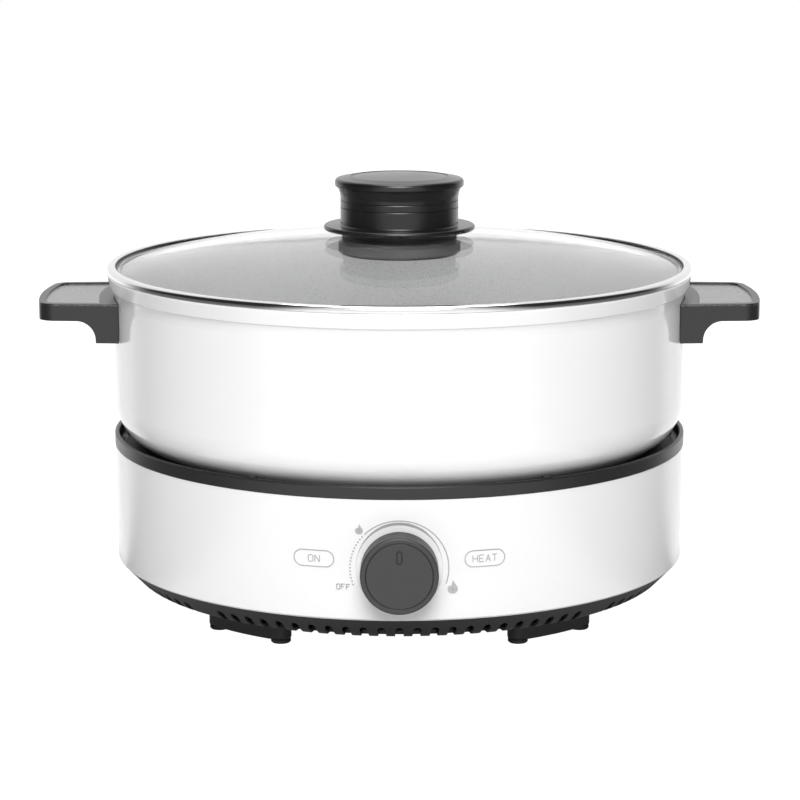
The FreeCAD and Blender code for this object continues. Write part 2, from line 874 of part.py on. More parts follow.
def make_regulator():
    half = regulator_size / 2
    body = block(-half, half, -regulator_front, -regulator_back, dial_height - half, dial_height + half)
    along = [edge for edge in body.Edges if abs(edge.BoundBox.YLength - regulator_depth) < 1e-6]
    body = body.makeFillet(3.0, along)
    body = body.fuse(rod(bushing_radius, (0, -regulator_front, dial_height),
                         (0, -bushing_tip, dial_height)))
    for x, z in terminal_tabs():
        body = body.fuse(block(x - 2.4, x + 2.4, -regulator_back, -regulator_back + 5, z - 0.4, z + 0.4))
    bore = rod(shaft_radius + shaft_fit, (0, -bushing_tip - 1, dial_height),
               (0, -regulator_back + 1, dial_height))
    save("power_regulator", body.cut(bore).removeSplitter())
    nut = Part.Face(Part.makePolygon([
        Vector(8 * math.cos(math.pi / 3 * k), -bracket_face, dial_height + 8 * math.sin(math.pi / 3 * k))
        for k in range(7)
    ])).extrude(Vector(0, -3, 0))
    save("regulator_nut", whole(nut).cut(rod(bushing_radius, (0, -bracket_face - 4, dial_height),
                                             (0, -bracket_face + 1, dial_height))))


bushing_tip = bracket_face + 6.0


def terminal_tabs():
    return [(-7.0, dial_height - 8.0), (7.0, dial_height - 8.0)]


def make_control_bracket():
    top = flange_top
    plate = block(-bracket_half_width, bracket_half_width, -bracket_face, -regulator_front,
                  bracket_low, top)
    shelf = block(-bracket_half_width, bracket_half_width, -regulator_front,
                  -bracket_screw_y + 5, top - bracket_wall, top)
    bracket = plate.fuse(shelf)
    for side in (-1, 1):
        web = block(side * 24 - 1, side * 24 + 1, -regulator_front, -bracket_screw_y + 5,
                    bracket_low + 10, top)
        bracket = bracket.fuse(web)
    holes = [rod(bushing_radius + fit_gap, (0, -bracket_face - 1, dial_height),
                 (0, -regulator_front + 1, dial_height))]
    for x, y in bracket_screw_places():
        holes.append(rod(screw_radius + screw_gap, (x, y, top - bracket_wall - 1), (x, y, top + 1)))
    save("control_bracket", bracket.cut(holes).removeSplitter())
    screws = []
    for x, y in bracket_screw_places():
        base = top - bracket_wall
        screws.append(screw((x, y, base), (x, y, deck_under), 3.0, 1.8, screw_radius - screw_gap))
    save("bracket_screws", *screws)


# Two light windows with a lamp board behind each
def make_lights():
    skin = Part.makeCylinder(shell_radius - 0.1, 120, Vector(0, 0, 0))
    names = {-1: "power_light_window", 1: "heating_light_window"}
    boards = []
    lamps = []
    for side in (-1, 1):
        x = side * lens_offset
        guide = capsule(lens_width, lens_tall, x, lens_height, -shell_radius - 5, -lens_back)
        save(names[side], guide.common(skin))
        boards.append(block(x - 12, x + 12, -bracket_face - board_thickness, -bracket_face,
                            lens_height - 8, lens_height + 8))
        lamps.append(block(x - 3, x + 3, -lens_back, -bracket_face - board_thickness,
                           lens_height - 1.8, lens_height + 1.8))
    save("lamp_boards", *boards)
    save("indicator_lamps", *lamps)


# Three-pin supply inlet at the back
def make_inlet():
    back = inlet_face - inlet_depth
    half_w, half_t = inlet_half_width, inlet_half_tall
    body = block(-half_w, half_w, back, inlet_face, inlet_height - half_t, inlet_height + half_t)
    body = body.fuse(block(-inlet_flange_half, inlet_flange_half, inlet_flange_face - 2, inlet_flange_face,
                           inlet_height - half_t, inlet_height + half_t))
    cavity = block(-half_w + inlet_wall, half_w - inlet_wall, back + inlet_back_wall, inlet_face + 1,
                   inlet_height - half_t + inlet_wall, inlet_height + half_t - inlet_wall)
    along = [edge for edge in cavity.Edges if edge.BoundBox.YLength > 1 and edge.BoundBox.ZMin > inlet_height]
    cavity = cavity.makeFillet(3.0, along)
    pins = []
    tools = [cavity]
    for x, z in pin_places():
        pin = block(x - pin_thickness / 2, x + pin_thickness / 2, back - tab_reach,
                    back + inlet_back_wall + pin_reach, z - pin_width / 2, z + pin_width / 2)
        tools.append(pin)
        tip = [edge for edge in pin.Edges if edge.BoundBox.YMin > back + inlet_back_wall + pin_reach - 1e-6]
        pins.append(pin.makeChamfer(pin_thickness * 0.3, tip))
    for side in (-1, 1):
        x = side * inlet_screw_x
        tools.append(rod(screw_radius + screw_gap, (x, inlet_flange_face - 3, inlet_height),
                         (x, inlet_flange_face + 1, inlet_height)))
    save("supply_inlet", body.cut(tools).removeSplitter())
    save("inlet_pins", *pins)
    screws = []
    for side in (-1, 1):
        x = side * inlet_screw_x
        screws.append(screw((x, inlet_flange_face - 2, inlet_height), (x, inlet_screw_tip, inlet_height),
                            3.0, 1.8, screw_radius - screw_gap))
    save("inlet_screws", *screws)


def pin_places():
    return [(-pin_spacing, inlet_height - 2), (0, inlet_height + 2), (pin_spacing, inlet_height - 2)]


def lead(points):
    """Round lead along straight runs joined by tangent arcs."""
    spots = [Vector(*point) for point in points]
    edges = []
    last = spots[0]
    for before, corner, after in zip(spots, spots[1:], spots[2:]):
        run = 0.45 * min((corner - before).Length, (after - corner).Length)
        start = corner + (before - corner).normalize() * run
        end = corner + (after - corner).normalize() * run
        edges.append(Part.makeLine(last, start))
        edges.append(arc_about(start, corner, end))
        last = end
    edges.append(Part.makeLine(last, spots[-1]))
    section = Part.Wire(Part.makeCircle(lead_radius, spots[0], spots[1] - spots[0]))
    return whole(Part.Wire(edges).makePipeShell([section], True, False))


def make_leads():
    back = inlet_face - inlet_depth - tab_reach
    front = -regulator_back + 5
    (live_x, live_z), (earth_x, earth_z), (neutral_x, neutral_z) = pin_places()
    (right_x, end_y), (left_x, end_y) = terminal_places()
    (in_x, in_z), (out_x, out_z) = terminal_tabs()
    low = cover_floor + 16
    save("live_lead", lead([
        (live_x, back, live_z), (live_x, back - 16, live_z), (-30, 50, low), (-34, -30, low),
        (in_x, front + 16, in_z), (in_x, front, in_z),
    ]))
    save("neutral_lead", lead([
        (neutral_x, back, neutral_z), (neutral_x, back - 14, neutral_z), (right_x, end_y + 12, low + 4),
        (right_x, end_y, terminal_tip - 12), (right_x, end_y, terminal_tip),
    ]))
    save("load_lead", lead([
        (out_x, front, out_z), (out_x, front + 16, out_z), (34, -20, low), (4, 40, low - 6),
        (left_x, end_y, terminal_tip - 14), (left_x, end_y, terminal_tip),
    ]))
    earth_y = back - 26
    save("earth_lead", lead([
        (earth_x, back, earth_z), (earth_x, back - 12, earth_z), (earth_x, earth_y, earth_z - 8),
        (earth_x, earth_y - 6, shield_floor - shield_wall - 8),
        (earth_x, earth_y - 6, shield_floor - shield_wall),
    ]))


# Cast pot: white outside, widened mouth that takes the lid, two lugs on each side
def make_pot():
    inner_corner = pot_corner - pot_wall
    inner_floor = pot_bottom + pot_floor
    outer_turn = pot_corner * (1 - math.sqrt(0.5))
    inner_turn = inner_corner * (1 - math.sqrt(0.5))
    edge = mouth_wall * 0.4
    body = turned(
        (0, pot_bottom),
        (pot_radius - pot_corner, pot_bottom),
        (pot_radius - outer_turn, pot_bottom + outer_turn, pot_radius, pot_bottom + pot_corner),
        (pot_radius, sweep_foot),
        (pot_radius + rim_sweep_reach / 4, sweep_foot + rim_sweep_height / 2,
         pot_radius + rim_sweep_reach, rim_foot - rim_lip),
        (rim_foot_radius, rim_foot),
        (rim_radius, rim_top - edge),
        (rim_radius - edge * 0.3, rim_top - edge * 0.3, rim_radius - edge, rim_top),
        (mouth_radius, rim_top),
        (mouth_radius, ledge),
        (pot_bore, ledge),
        (pot_bore, inner_floor + inner_corner),
        (pot_bore - inner_turn, inner_floor + inner_turn, pot_bore - inner_corner, inner_floor),
        (0, inner_floor),
    )
    for side in (-1, 1):
        for y in (-handle_screw_offset, handle_screw_offset):
            foot = pot_radius - pot_wall / 2
            lug = rod(lug_radius, (side * (foot - 6), y, handle_screw_height),
                      (side * (pot_radius + lug_reach - 4), y, handle_screw_height))
            lug = lug.cut(Part.makeCylinder(foot, 200))
            hole = rod(screw_radius - screw_gap, (side * (pot_radius - 1.6), y, handle_screw_height),
                       (side * (pot_radius + lug_reach), y, handle_screw_height))
            body = body.fuse(lug).cut(hole)
    save("pot_body", body)


def handle_plan(inset, low, high):
    """Prism on the handle's outline in plan, drawn in by inset at its free edges."""
    root = pot_radius - 20
    tip = handle_reach - handle_bow - inset
    wide = handle_half_width - inset
    narrow = handle_tip_half_width - inset
    corner = max(handle_corner - inset, 1.0)
    turn = corner * (1 - math.sqrt(0.5))
    return slab([
        (root, -wide),
        (tip - corner, -narrow),
        (tip - turn, -narrow + turn, tip, -narrow + corner),
        (handle_reach - inset, 0, tip, narrow - corner),
        (tip - turn, narrow - turn, tip - corner, narrow),
        (root, wide),
    ], low, high)


def make_handles():
    round_top = handle_bottom - handle_leg_round
    turn = handle_leg_round * (1 - math.sqrt(0.5))
    side_view = outline([
        (pot_radius - 20, handle_leg_foot),
        (handle_leg_reach, handle_leg_foot),
        (handle_leg_reach + 0.1, round_top),
        (handle_leg_reach + turn, handle_bottom - turn, handle_leg_reach + handle_leg_round, handle_bottom),
        (handle_reach + 5, handle_bottom),
        (handle_reach + 5, handle_top),
        (pot_radius - 20, handle_top),
    ], lambda x, z: Vector(x, -handle_half_width - 5, z))
    bar = whole(Part.Face(side_view).extrude(Vector(0, 2 * handle_half_width + 10, 0)))
    bar = bar.common(handle_plan(0, handle_leg_foot - 1, handle_top + 1))
    bar = bar.makeFillet(handle_edge, top_edges(bar))
    panel = handle_plan(handle_panel_inset, handle_top - handle_panel_depth, handle_top + 1)
    panel = panel.cut(Part.makeCylinder(rim_radius + handle_panel_inset, 300))
    socket = Part.makeCylinder(pot_radius + fit_gap, 300)
    tools = [panel, socket]
    for y in (-handle_screw_offset, handle_screw_offset):
        z = handle_screw_height
        tools.append(rod(lug_radius + fit_gap, (pot_radius - 10, y, z),
                         (pot_radius + lug_reach - 4 + fit_gap, y, z)))
        tools.append(rod(screw_radius + screw_gap, (pot_radius - 10, y, z), (handle_reach, y, z)))
        tools.append(rod(3.6, (handle_screw_seat, y, z), (handle_reach + 5, y, z)))
    right = bar.cut(tools)
    save("handle_right", right)
    save("handle_left", mirrored(right))
    screws = []
    for side in (-1, 1):
        for y in (-handle_screw_offset, handle_screw_offset):
            screws.append(screw((side * handle_screw_seat, y, handle_screw_height),
                                (side * (pot_radius - 1.0), y, handle_screw_height),
                                3.2, 2.0, screw_radius - screw_gap))
    save("handle_screws", *screws)


handle_screw_seat = pot_radius + lug_reach - 4 + handle_wall


# Lid: glass dome in a steel ring, with a dark seal between them
def crown_at(radius, top, rise, reach):
    """Height of a sphere that has its top on the axis and drops by rise at the reach."""
    ball = (reach ** 2 + rise ** 2) / (2 * rise)
    return top - ball + math.sqrt(ball ** 2 - radius ** 2)


def dome_at(radius):
    return crown_at(radius, dome_top, dome_rise, glass_brim)


def make_glass():
    mid = glass_brim / 2
    step = glass_thickness
    glass = turned(
        (glass_hole, dome_at(glass_hole)),
        (mid, dome_at(mid), glass_brim, glass_top),
        (glass_radius, glass_top),
        (glass_radius, glass_under),
        (glass_brim, glass_under),
        (mid, dome_at(mid) - step, glass_hole, dome_at(glass_hole) - step),
    )
    save("glass_dome", glass)
    save("edge_seal", turned(
        (seal_lip, glass_top),
        (seal_lip, glass_top + seal_wall),
        (seal_outer, glass_top + seal_wall),
        (seal_outer, glass_under - seal_wall),
        (seal_lip, glass_under - seal_wall),
        (seal_lip, glass_under),
        (glass_radius, glass_under),
        (glass_radius, glass_top),
    ))
    lip_top = glass_top + seal_wall + ring_wall
    bead = rim_radius - 0.05
    save("lid_ring", turned(
        (ring_lip, glass_top + seal_wall),
        (ring_lip, lip_top - 0.2),
        (ring_lip + 0.2, lip_top),
        (bead - 2.2, lip_top),
        (bead - 0.6, lip_top - 0.5, bead, lip_top - 1.8),
        (bead, ring_seat),
        (ring_bore, ring_seat),
        (ring_bore, glass_under - seal_wall - ring_wall),
        (ring_lip, glass_under - seal_wall - ring_wall),
        (ring_lip, glass_under - seal_wall),
        (seal_outer, glass_under - seal_wall),
        (seal_outer, glass_top + seal_wall),
    ))


# Knob: flanged body, cap, seals each side of the glass, boss and screw from below
def make_knob():
    waist = knob_waist_radius
    flange = knob_flange_radius
    edge = knob_flange_edge
    neck = knob_cap_radius - knob_cap_lip
    hollow = waist - knob_wall
    post = insert_radius + 2.6
    body = turned(
        (insert_radius, flange_bottom),
        (flange - edge, flange_bottom),
        (flange - edge * 0.3, flange_bottom + edge * 0.3, flange, flange_bottom + edge),
        (flange, waist_foot - edge),
        (flange - edge * 0.3, waist_foot - edge * 0.3, flange - edge, waist_foot),
        (waist + 1.0, waist_foot),
        (waist + 0.3, waist_foot + 0.3, waist, waist_foot + 1.0),
        (waist, neck_foot),
        (waist + 0.5, cap_foot - knob_neck_height * 0.5, neck, cap_foot),
        (neck - knob_wall, cap_foot),
        (neck - knob_wall, cap_foot - knob_skirt - 0.2),
        (hollow, neck_foot),
        (hollow, flange_bottom + knob_flange_wall),
        (post, flange_bottom + knob_flange_wall),
        (post, flange_bottom + insert_length + 1),
        (insert_radius, flange_bottom + insert_length + 1),
    )
    save("knob_body", body)
    crown = cap_edge_top + knob_crown
    lip = knob_cap_recess - 0.5
    over = knob_cap_round
    under = knob_cap_under_round
    lip_middle = crown_at(lip / 2, crown, knob_crown, knob_cap_radius)
    cap = turned(
        (0, cap_foot + 1.2),
        (neck - knob_wall - 2.0, cap_foot + 1.2),
        (neck - knob_wall - 2.0, cap_foot - knob_skirt),
        (neck - knob_wall - fit_gap, cap_foot - knob_skirt),
        (neck - knob_wall - fit_gap, cap_foot),
        (knob_cap_radius - under, cap_foot),
        (knob_cap_radius - under * 0.3, cap_foot + under * 0.3, knob_cap_radius, cap_foot + under),
        (knob_cap_radius, cap_edge_top - over),
        (knob_cap_radius - over * 0.3, cap_edge_top - over * 0.3, knob_cap_radius - over, cap_edge_top),
        (knob_cap_recess + 0.5, cap_edge_top + knob_crown * 0.6),
        (knob_cap_recess, cap_edge_top + knob_crown * 0.25),
        (lip, crown_at(lip, crown, knob_crown, knob_cap_radius)),
        (lip / 2, lip_middle, 0, crown),
    )
    save("knob_cap", cap)
    mid = (insert_radius + washer_radius) / 2
    save("upper_washer", turned(
        (insert_radius, flange_bottom),
        (washer_radius, flange_bottom),
        (washer_radius, dome_at(washer_radius)),
        (mid, dome_at(mid), insert_radius, dome_at(insert_radius)),
    ))
    under = [dome_at(radius) - glass_thickness for radius in (insert_radius, mid, washer_radius)]
    ring_top = boss_bottom + lower_ring_height
    save("inner_boss", turned(
        (insert_radius, under[0]),
        (mid, under[1], washer_radius, under[2]),
        (washer_radius, boss_bottom + 0.6),
        (washer_radius - 0.6, boss_bottom),
        (knob_screw_head + 0.6, boss_bottom),
        (knob_screw_head + 0.6, boss_bottom + knob_screw_head_height),
        (insert_radius - 1.0, boss_bottom + knob_screw_head_height),
        (insert_radius - 1.0, under[0] - 1.0),
        (insert_radius, under[0] - 1.0),
    ))
    save("lower_seal_ring", turned(
        (washer_radius, boss_bottom + 0.6),
        (lower_ring_radius - 0.8, boss_bottom + 0.6),
        (lower_ring_radius, boss_bottom + 1.4),
        (lower_ring_radius, ring_top - 1.2),
        (lower_ring_radius - 1.0, ring_top),
        (washer_radius, ring_top),
    ))
    save("knob_insert", turned(
        (knob_screw_radius, flange_bottom),
        (insert_radius, flange_bottom),
        (insert_radius, flange_bottom + insert_length),
        (knob_screw_radius, flange_bottom + insert_length),
    ))
    seat = boss_bottom + knob_screw_head_height
    save("knob_screw", screw((0, 0, seat), (0, 0, flange_bottom + insert_length - 2), knob_screw_head,
                             knob_screw_head_height - 0.4, knob_screw_radius))


def main():
    os.makedirs("parts", exist_ok=True)
    make_outer_shell()
    make_top_frame()
    make_bottom_cover()
    make_foot_rails()
    make_rubber_feet()
    make_cover_screws()
    make_heating_plate()
    make_heating_element()
    make_heat_shield()
    make_shield_screws()
    make_plate_supports()
    make_sensor()
    make_fuse()
    make_dial()
    make_regulator()
    make_control_bracket()
    make_lights()
    make_inlet()
    make_leads()
    make_pot()
    make_handles()
    make_glass()
    make_knob()


main()
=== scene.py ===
import math

import bmesh
import bpy
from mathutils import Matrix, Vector


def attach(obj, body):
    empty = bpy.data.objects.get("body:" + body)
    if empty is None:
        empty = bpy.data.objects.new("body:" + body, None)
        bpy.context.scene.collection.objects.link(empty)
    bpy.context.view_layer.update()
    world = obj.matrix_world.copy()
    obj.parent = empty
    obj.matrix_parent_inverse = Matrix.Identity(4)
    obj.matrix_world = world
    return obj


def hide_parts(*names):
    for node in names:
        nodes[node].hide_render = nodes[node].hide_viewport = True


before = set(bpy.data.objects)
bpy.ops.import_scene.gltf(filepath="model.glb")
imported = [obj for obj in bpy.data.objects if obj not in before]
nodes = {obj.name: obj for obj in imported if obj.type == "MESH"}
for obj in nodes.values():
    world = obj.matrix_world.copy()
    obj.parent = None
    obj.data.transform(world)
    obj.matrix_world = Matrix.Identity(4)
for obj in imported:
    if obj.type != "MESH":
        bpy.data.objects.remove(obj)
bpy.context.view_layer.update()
mm = 0.001

print("frame loaded,", len(nodes), "nodes")

# small helpers for node trees


def placeNode(tree, kind, spot, **values):
    node = tree.nodes.new(kind)
    node.location = (spot[0] * 220, spot[1] * -200)
    for name, value in values.items():
        setattr(node, name, value)
    return node


def join(tree, source, target):
    tree.links.new(source, target)


def mathNode(tree, operation, first, second=None, spot=(0, 0), clamp=False):
    node = placeNode(tree, "ShaderNodeMath", spot, operation=operation, use_clamp=clamp)
    for index, value in enumerate((first, second)):
        if value is None:
            continue
        if isinstance(value, (int, float)):
            node.inputs[index].default_value = value
        else:
            join(tree, value, node.inputs[index])
    return node.outputs[0]


def newGroup(name, inputs, outputs):
    tree = bpy.data.node_groups.new(name, "ShaderNodeTree")
    for socketName, kind, value in inputs:
        socket = tree.interface.new_socket(name=socketName, in_out="INPUT", socket_type=kind)
        if value is not None:
            socket.default_value = value
    for socketName, kind in outputs:
        tree.interface.new_socket(name=socketName, in_out="OUTPUT", socket_type=kind)
    start = placeNode(tree, "NodeGroupInput", (-4, 0))
    end = placeNode(tree, "NodeGroupOutput", (6, 0))
    return tree, start, end


floatSocket, colorSocket, vectorSocket = "NodeSocketFloat", "NodeSocketColor", "NodeSocketVector"


# effects that several finishes share

grainBuild = dict(smoothness=0.6, detail=3.0, pitLevel=0.56)


def makeMouldGrain():  # pebbled skin of a moulded or sprayed surface
    tree, start, end = newGroup(
        "mouldGrain",
        [("Scale", floatSocket, 900.0), ("Roundness", floatSocket, 0.5)],
        [("Height", floatSocket), ("Pits", floatSocket)],
    )
    place = placeNode(tree, "ShaderNodeTexCoord", (-4, 2))
    cells = placeNode(tree, "ShaderNodeTexVoronoi", (-2, 0), feature="SMOOTH_F1")
    cells.inputs["Smoothness"].default_value = grainBuild["smoothness"]
    noise = placeNode(tree, "ShaderNodeTexNoise", (-2, 2))
    noise.inputs["Detail"].default_value = grainBuild["detail"]
    join(tree, place.outputs["Object"], cells.inputs["Vector"])
    join(tree, place.outputs["Object"], noise.inputs["Vector"])
    join(tree, start.outputs["Scale"], cells.inputs["Scale"])
    join(tree, start.outputs["Scale"], noise.inputs["Scale"])
    mix = placeNode(tree, "ShaderNodeMix", (0, 0))
    join(tree, start.outputs["Roundness"], mix.inputs["Factor"])
    join(tree, noise.outputs["Fac"], mix.inputs["A"])
    join(tree, cells.outputs["Distance"], mix.inputs["B"])
    join(tree, mix.outputs["Result"], end.inputs["Height"])
    pits = mathNode(tree, "GREATER_THAN", mix.outputs["Result"], grainBuild["pitLevel"], (2, 2))
    join(tree, pits, end.inputs["Pits"])
    return tree


handlingBuild = dict(detail=3.0, low=0.2, high=0.8)


def makeHandling():  # faint smears and cleaning marks that change the shine
    tree, start, end = newGroup(
        "handlingMarks",
        [("Scale", floatSocket, 12.0), ("Shine", floatSocket, 0.2), ("Dull", floatSocket, 0.3)],
        [("Roughness", floatSocket)],
    )
    place = placeNode(tree, "ShaderNodeTexCoord", (-4, 2))
    noise = placeNode(tree, "ShaderNodeTexNoise", (-2, 0))
    noise.inputs["Detail"].default_value = handlingBuild["detail"]
    join(tree, place.outputs["Object"], noise.inputs["Vector"])
    join(tree, start.outputs["Scale"], noise.inputs["Scale"])
    spread = placeNode(tree, "ShaderNodeMapRange", (0, 0))
    spread.inputs["From Min"].default_value = handlingBuild["low"]
    spread.inputs["From Max"].default_value = handlingBuild["high"]
    join(tree, noise.outputs["Fac"], spread.inputs["Value"])
    join(tree, start.outputs["Shine"], spread.inputs["To Min"])
    join(tree, start.outputs["Dull"], spread.inputs["To Max"])
    join(tree, spread.outputs["Result"], end.inputs["Roughness"])
    return tree


edgeBuild = dict(samples=4, gain=3.0)


def makeSoftEdge():  # rounds the look of sharp edges, and finds where they are
    tree, start, end = newGroup(
        "softEdge",
        [("Radius", floatSocket, 0.0005)],
        [("Normal", vectorSocket), ("Edge", floatSocket)],
    )
    bevel = placeNode(tree, "ShaderNodeBevel", (-2, 0), samples=edgeBuild["samples"])
    join(tree, start.outputs["Radius"], bevel.inputs["Radius"])
    plain = placeNode(tree, "ShaderNodeNewGeometry", (-2, 2))
    dot = placeNode(tree, "ShaderNodeVectorMath", (0, 0), operation="DOT_PRODUCT")
    join(tree, bevel.outputs["Normal"], dot.inputs[0])
    join(tree, plain.outputs["Normal"], dot.inputs[1])
    edge = mathNode(tree, "SUBTRACT", 1.0, dot.outputs["Value"], (2, 0))
    strong = mathNode(tree, "MULTIPLY", edge, edgeBuild["gain"], (4, 1), clamp=True)
    join(tree, bevel.outputs["Normal"], end.inputs["Normal"])
    join(tree, strong, end.inputs["Edge"])
    return tree


ringBuild = dict(height=0.5, noise=1.0)


def makeLatheRings():  # fine rings left by a lathe, about the pot's own axis
    tree, start, end = newGroup(
        "latheRings",
        [("Pitch", floatSocket, 0.0008), ("Unevenness", floatSocket, 0.3)],
        [("Height", floatSocket)],
    )
    place = placeNode(tree, "ShaderNodeTexCoord", (-4, 2))
    apart = placeNode(tree, "ShaderNodeSeparateXYZ", (-3, 2))
    join(tree, place.outputs["Object"], apart.inputs[0])
    across = mathNode(tree, "MULTIPLY", apart.outputs["X"], apart.outputs["X"], (-2, 1))
    along = mathNode(tree, "MULTIPLY", apart.outputs["Y"], apart.outputs["Y"], (-2, 2))
    radius = mathNode(tree, "SQRT", mathNode(tree, "ADD", across, along, (-1, 1)), None, (0, 1))
    rings = mathNode(tree, "DIVIDE", radius, start.outputs["Pitch"], (1, 1))
    noise = placeNode(tree, "ShaderNodeTexNoise", (1, 3), noise_dimensions="1D")
    noise.inputs["Scale"].default_value = ringBuild["noise"]
    join(tree, rings, noise.inputs["W"])
    wave = mathNode(tree, "SINE", mathNode(tree, "MULTIPLY", rings, 2 * math.pi, (2, 1)), None, (3, 1))
    uneven = mathNode(tree, "MULTIPLY", noise.outputs["Fac"], start.outputs["Unevenness"], (3, 3))
    low = mathNode(tree, "MULTIPLY", wave, ringBuild["height"], (4, 1))
    height = mathNode(tree, "ADD", low, uneven, (5, 2))
    join(tree, height, end.inputs["Height"])
    return tree


toneBuild = dict(detail=2.0, share=0.5)


def makeToneShift():  # a small uneven change of colour over a surface
    tree, start, end = newGroup(
        "toneShift",
        [("Main", colorSocket, (0.8, 0.8, 0.8, 1)), ("Other", colorSocket, (0.7, 0.7, 0.7, 1)),
         ("Scale", floatSocket, 20.0), ("Mask", floatSocket, 0.0)],
        [("Color", colorSocket)],
    )
    place = placeNode(tree, "ShaderNodeTexCoord", (-4, 2))
    noise = placeNode(tree, "ShaderNodeTexNoise", (-2, 0))
    noise.inputs["Detail"].default_value = toneBuild["detail"]
    join(tree, place.outputs["Object"], noise.inputs["Vector"])
    join(tree, start.outputs["Scale"], noise.inputs["Scale"])
    uneven = mathNode(tree, "MULTIPLY", noise.outputs["Fac"], toneBuild["share"], (0, 0))
    amount = mathNode(tree, "ADD", uneven, start.outputs["Mask"], (1, 0), clamp=True)
    mix = placeNode(tree, "ShaderNodeMix", (2, 0), data_type="RGBA")
    join(tree, amount, mix.inputs[0])
    join(tree, start.outputs["Main"], mix.inputs[6])
    join(tree, start.outputs["Other"], mix.inputs[7])
    join(tree, mix.outputs[2], end.inputs["Color"])
    return tree


sidesBuild = dict(dimStart=0.55, dimEnd=0.9, lean=0.15)


def makeStudioSides():  # how bright the studio is all round: bright before and behind, dim at the sides
    tree, start, end = newGroup(
        "studioSides",
        [("Direction", vectorSocket, None), ("Dim", floatSocket, 0.1),
         ("Lean", floatSocket, sidesBuild["lean"])],
        [("Strength", floatSocket)],
    )
    level = placeNode(tree, "ShaderNodeVectorMath", (-3, 0), operation="MULTIPLY")
    level.inputs[1].default_value = (1, 1, 0)
    join(tree, start.outputs["Direction"], level.inputs[0])
    unit = placeNode(tree, "ShaderNodeVectorMath", (-2, 0), operation="NORMALIZE")
    join(tree, level.outputs[0], unit.inputs[0])
    apart = placeNode(tree, "ShaderNodeSeparateXYZ", (-1, 0))
    join(tree, unit.outputs[0], apart.inputs[0])
    across = mathNode(tree, "ABSOLUTE", apart.outputs["X"], None, (0, 0))
    behind = mathNode(tree, "MULTIPLY", apart.outputs["Y"], start.outputs["Lean"], (0, 1))
    side = mathNode(tree, "SUBTRACT", across, behind, (1, 1))
    ramp = placeNode(tree, "ShaderNodeMapRange", (1, 0), interpolation_type="SMOOTHSTEP")
    ramp.inputs["From Min"].default_value = sidesBuild["dimStart"]
    ramp.inputs["From Max"].default_value = sidesBuild["dimEnd"]
    ramp.inputs["To Min"].default_value = 1.0
    join(tree, side, ramp.inputs["Value"])
    join(tree, start.outputs["Dim"], ramp.inputs["To Max"])
    join(tree, ramp.outputs["Result"], end.inputs["Strength"])
    return tree


shared = {
    "sides": makeStudioSides(),
    "grain": makeMouldGrain(),
    "handling": makeHandling(),
    "edge": makeSoftEdge(),
    "latheRings": makeLatheRings(),
    "tone": makeToneShift(),
}


def useGroup(tree, name, spot, **values):
    node = placeNode(tree, "ShaderNodeGroup", spot, node_tree=shared[name])
    for socket, value in values.items():
        node.inputs[socket].default_value = value
    return node


def newFinish(name):
    material = bpy.data.materials.new(name)
    material.use_nodes = True
    tree = material.node_tree
    shader = tree.nodes["Principled BSDF"]
    shader.location = (1400, 0)
    tree.nodes["Material Output"].location = (1800, 0)
    return material, tree, shader


def rgb(value):
    return (value[0], value[1], value[2], 1.0) if isinstance(value, tuple) else (value, value, value, 1.0)


usualLook = dict(toneScale=25.0, marksScale=14.0, edgeRadius=0.35, bump=0.15, depth=0.05, grain=1500.0,
                 rings=None, unevenness=0.6, wear=0.1, metallic=0.0, specular=0.5, coat=0.0,
                 coatRoughness=0.1)


def makeFinish(name, changes):  # moulded, painted, metal and rubber finishes share this build
    look = {**usualLook, **changes}
    material, tree, shader = newFinish(name)
    tone = useGroup(tree, "tone", (0, 0), Main=rgb(look["color"]), Other=rgb(look["shade"]),
                    Scale=look["toneScale"])
    marks = useGroup(tree, "handling", (0, 2), Scale=look["marksScale"], Shine=look["shine"],
                     Dull=look["dull"])
    edge = useGroup(tree, "edge", (0, 4), Radius=look["edgeRadius"] * mm)
    bump = placeNode(tree, "ShaderNodeBump", (4, 3))
    bump.inputs["Strength"].default_value = look["bump"]
    bump.inputs["Distance"].default_value = look["depth"] * mm
    join(tree, edge.outputs["Normal"], bump.inputs["Normal"])
    if look["rings"]:
        relief = useGroup(tree, "latheRings", (0, 6), Pitch=look["rings"] * mm,
                          Unevenness=look["unevenness"])
    else:
        relief = useGroup(tree, "grain", (0, 6), Scale=look["grain"])
    join(tree, relief.outputs["Height"], bump.inputs["Height"])
    worn = mathNode(tree, "MULTIPLY", edge.outputs["Edge"], look["wear"], (2, 4))
    join(tree, worn, tone.inputs["Mask"])
    join(tree, tone.outputs["Color"], shader.inputs["Base Color"])
    join(tree, marks.outputs["Roughness"], shader.inputs["Roughness"])
    join(tree, bump.outputs["Normal"], shader.inputs["Normal"])
    shader.inputs["Metallic"].default_value = look["metallic"]
    shader.inputs["Specular IOR Level"].default_value = look["specular"]
    shader.inputs["Coat Weight"].default_value = look["coat"]
    shader.inputs["Coat Roughness"].default_value = look["coatRoughness"]
    return material


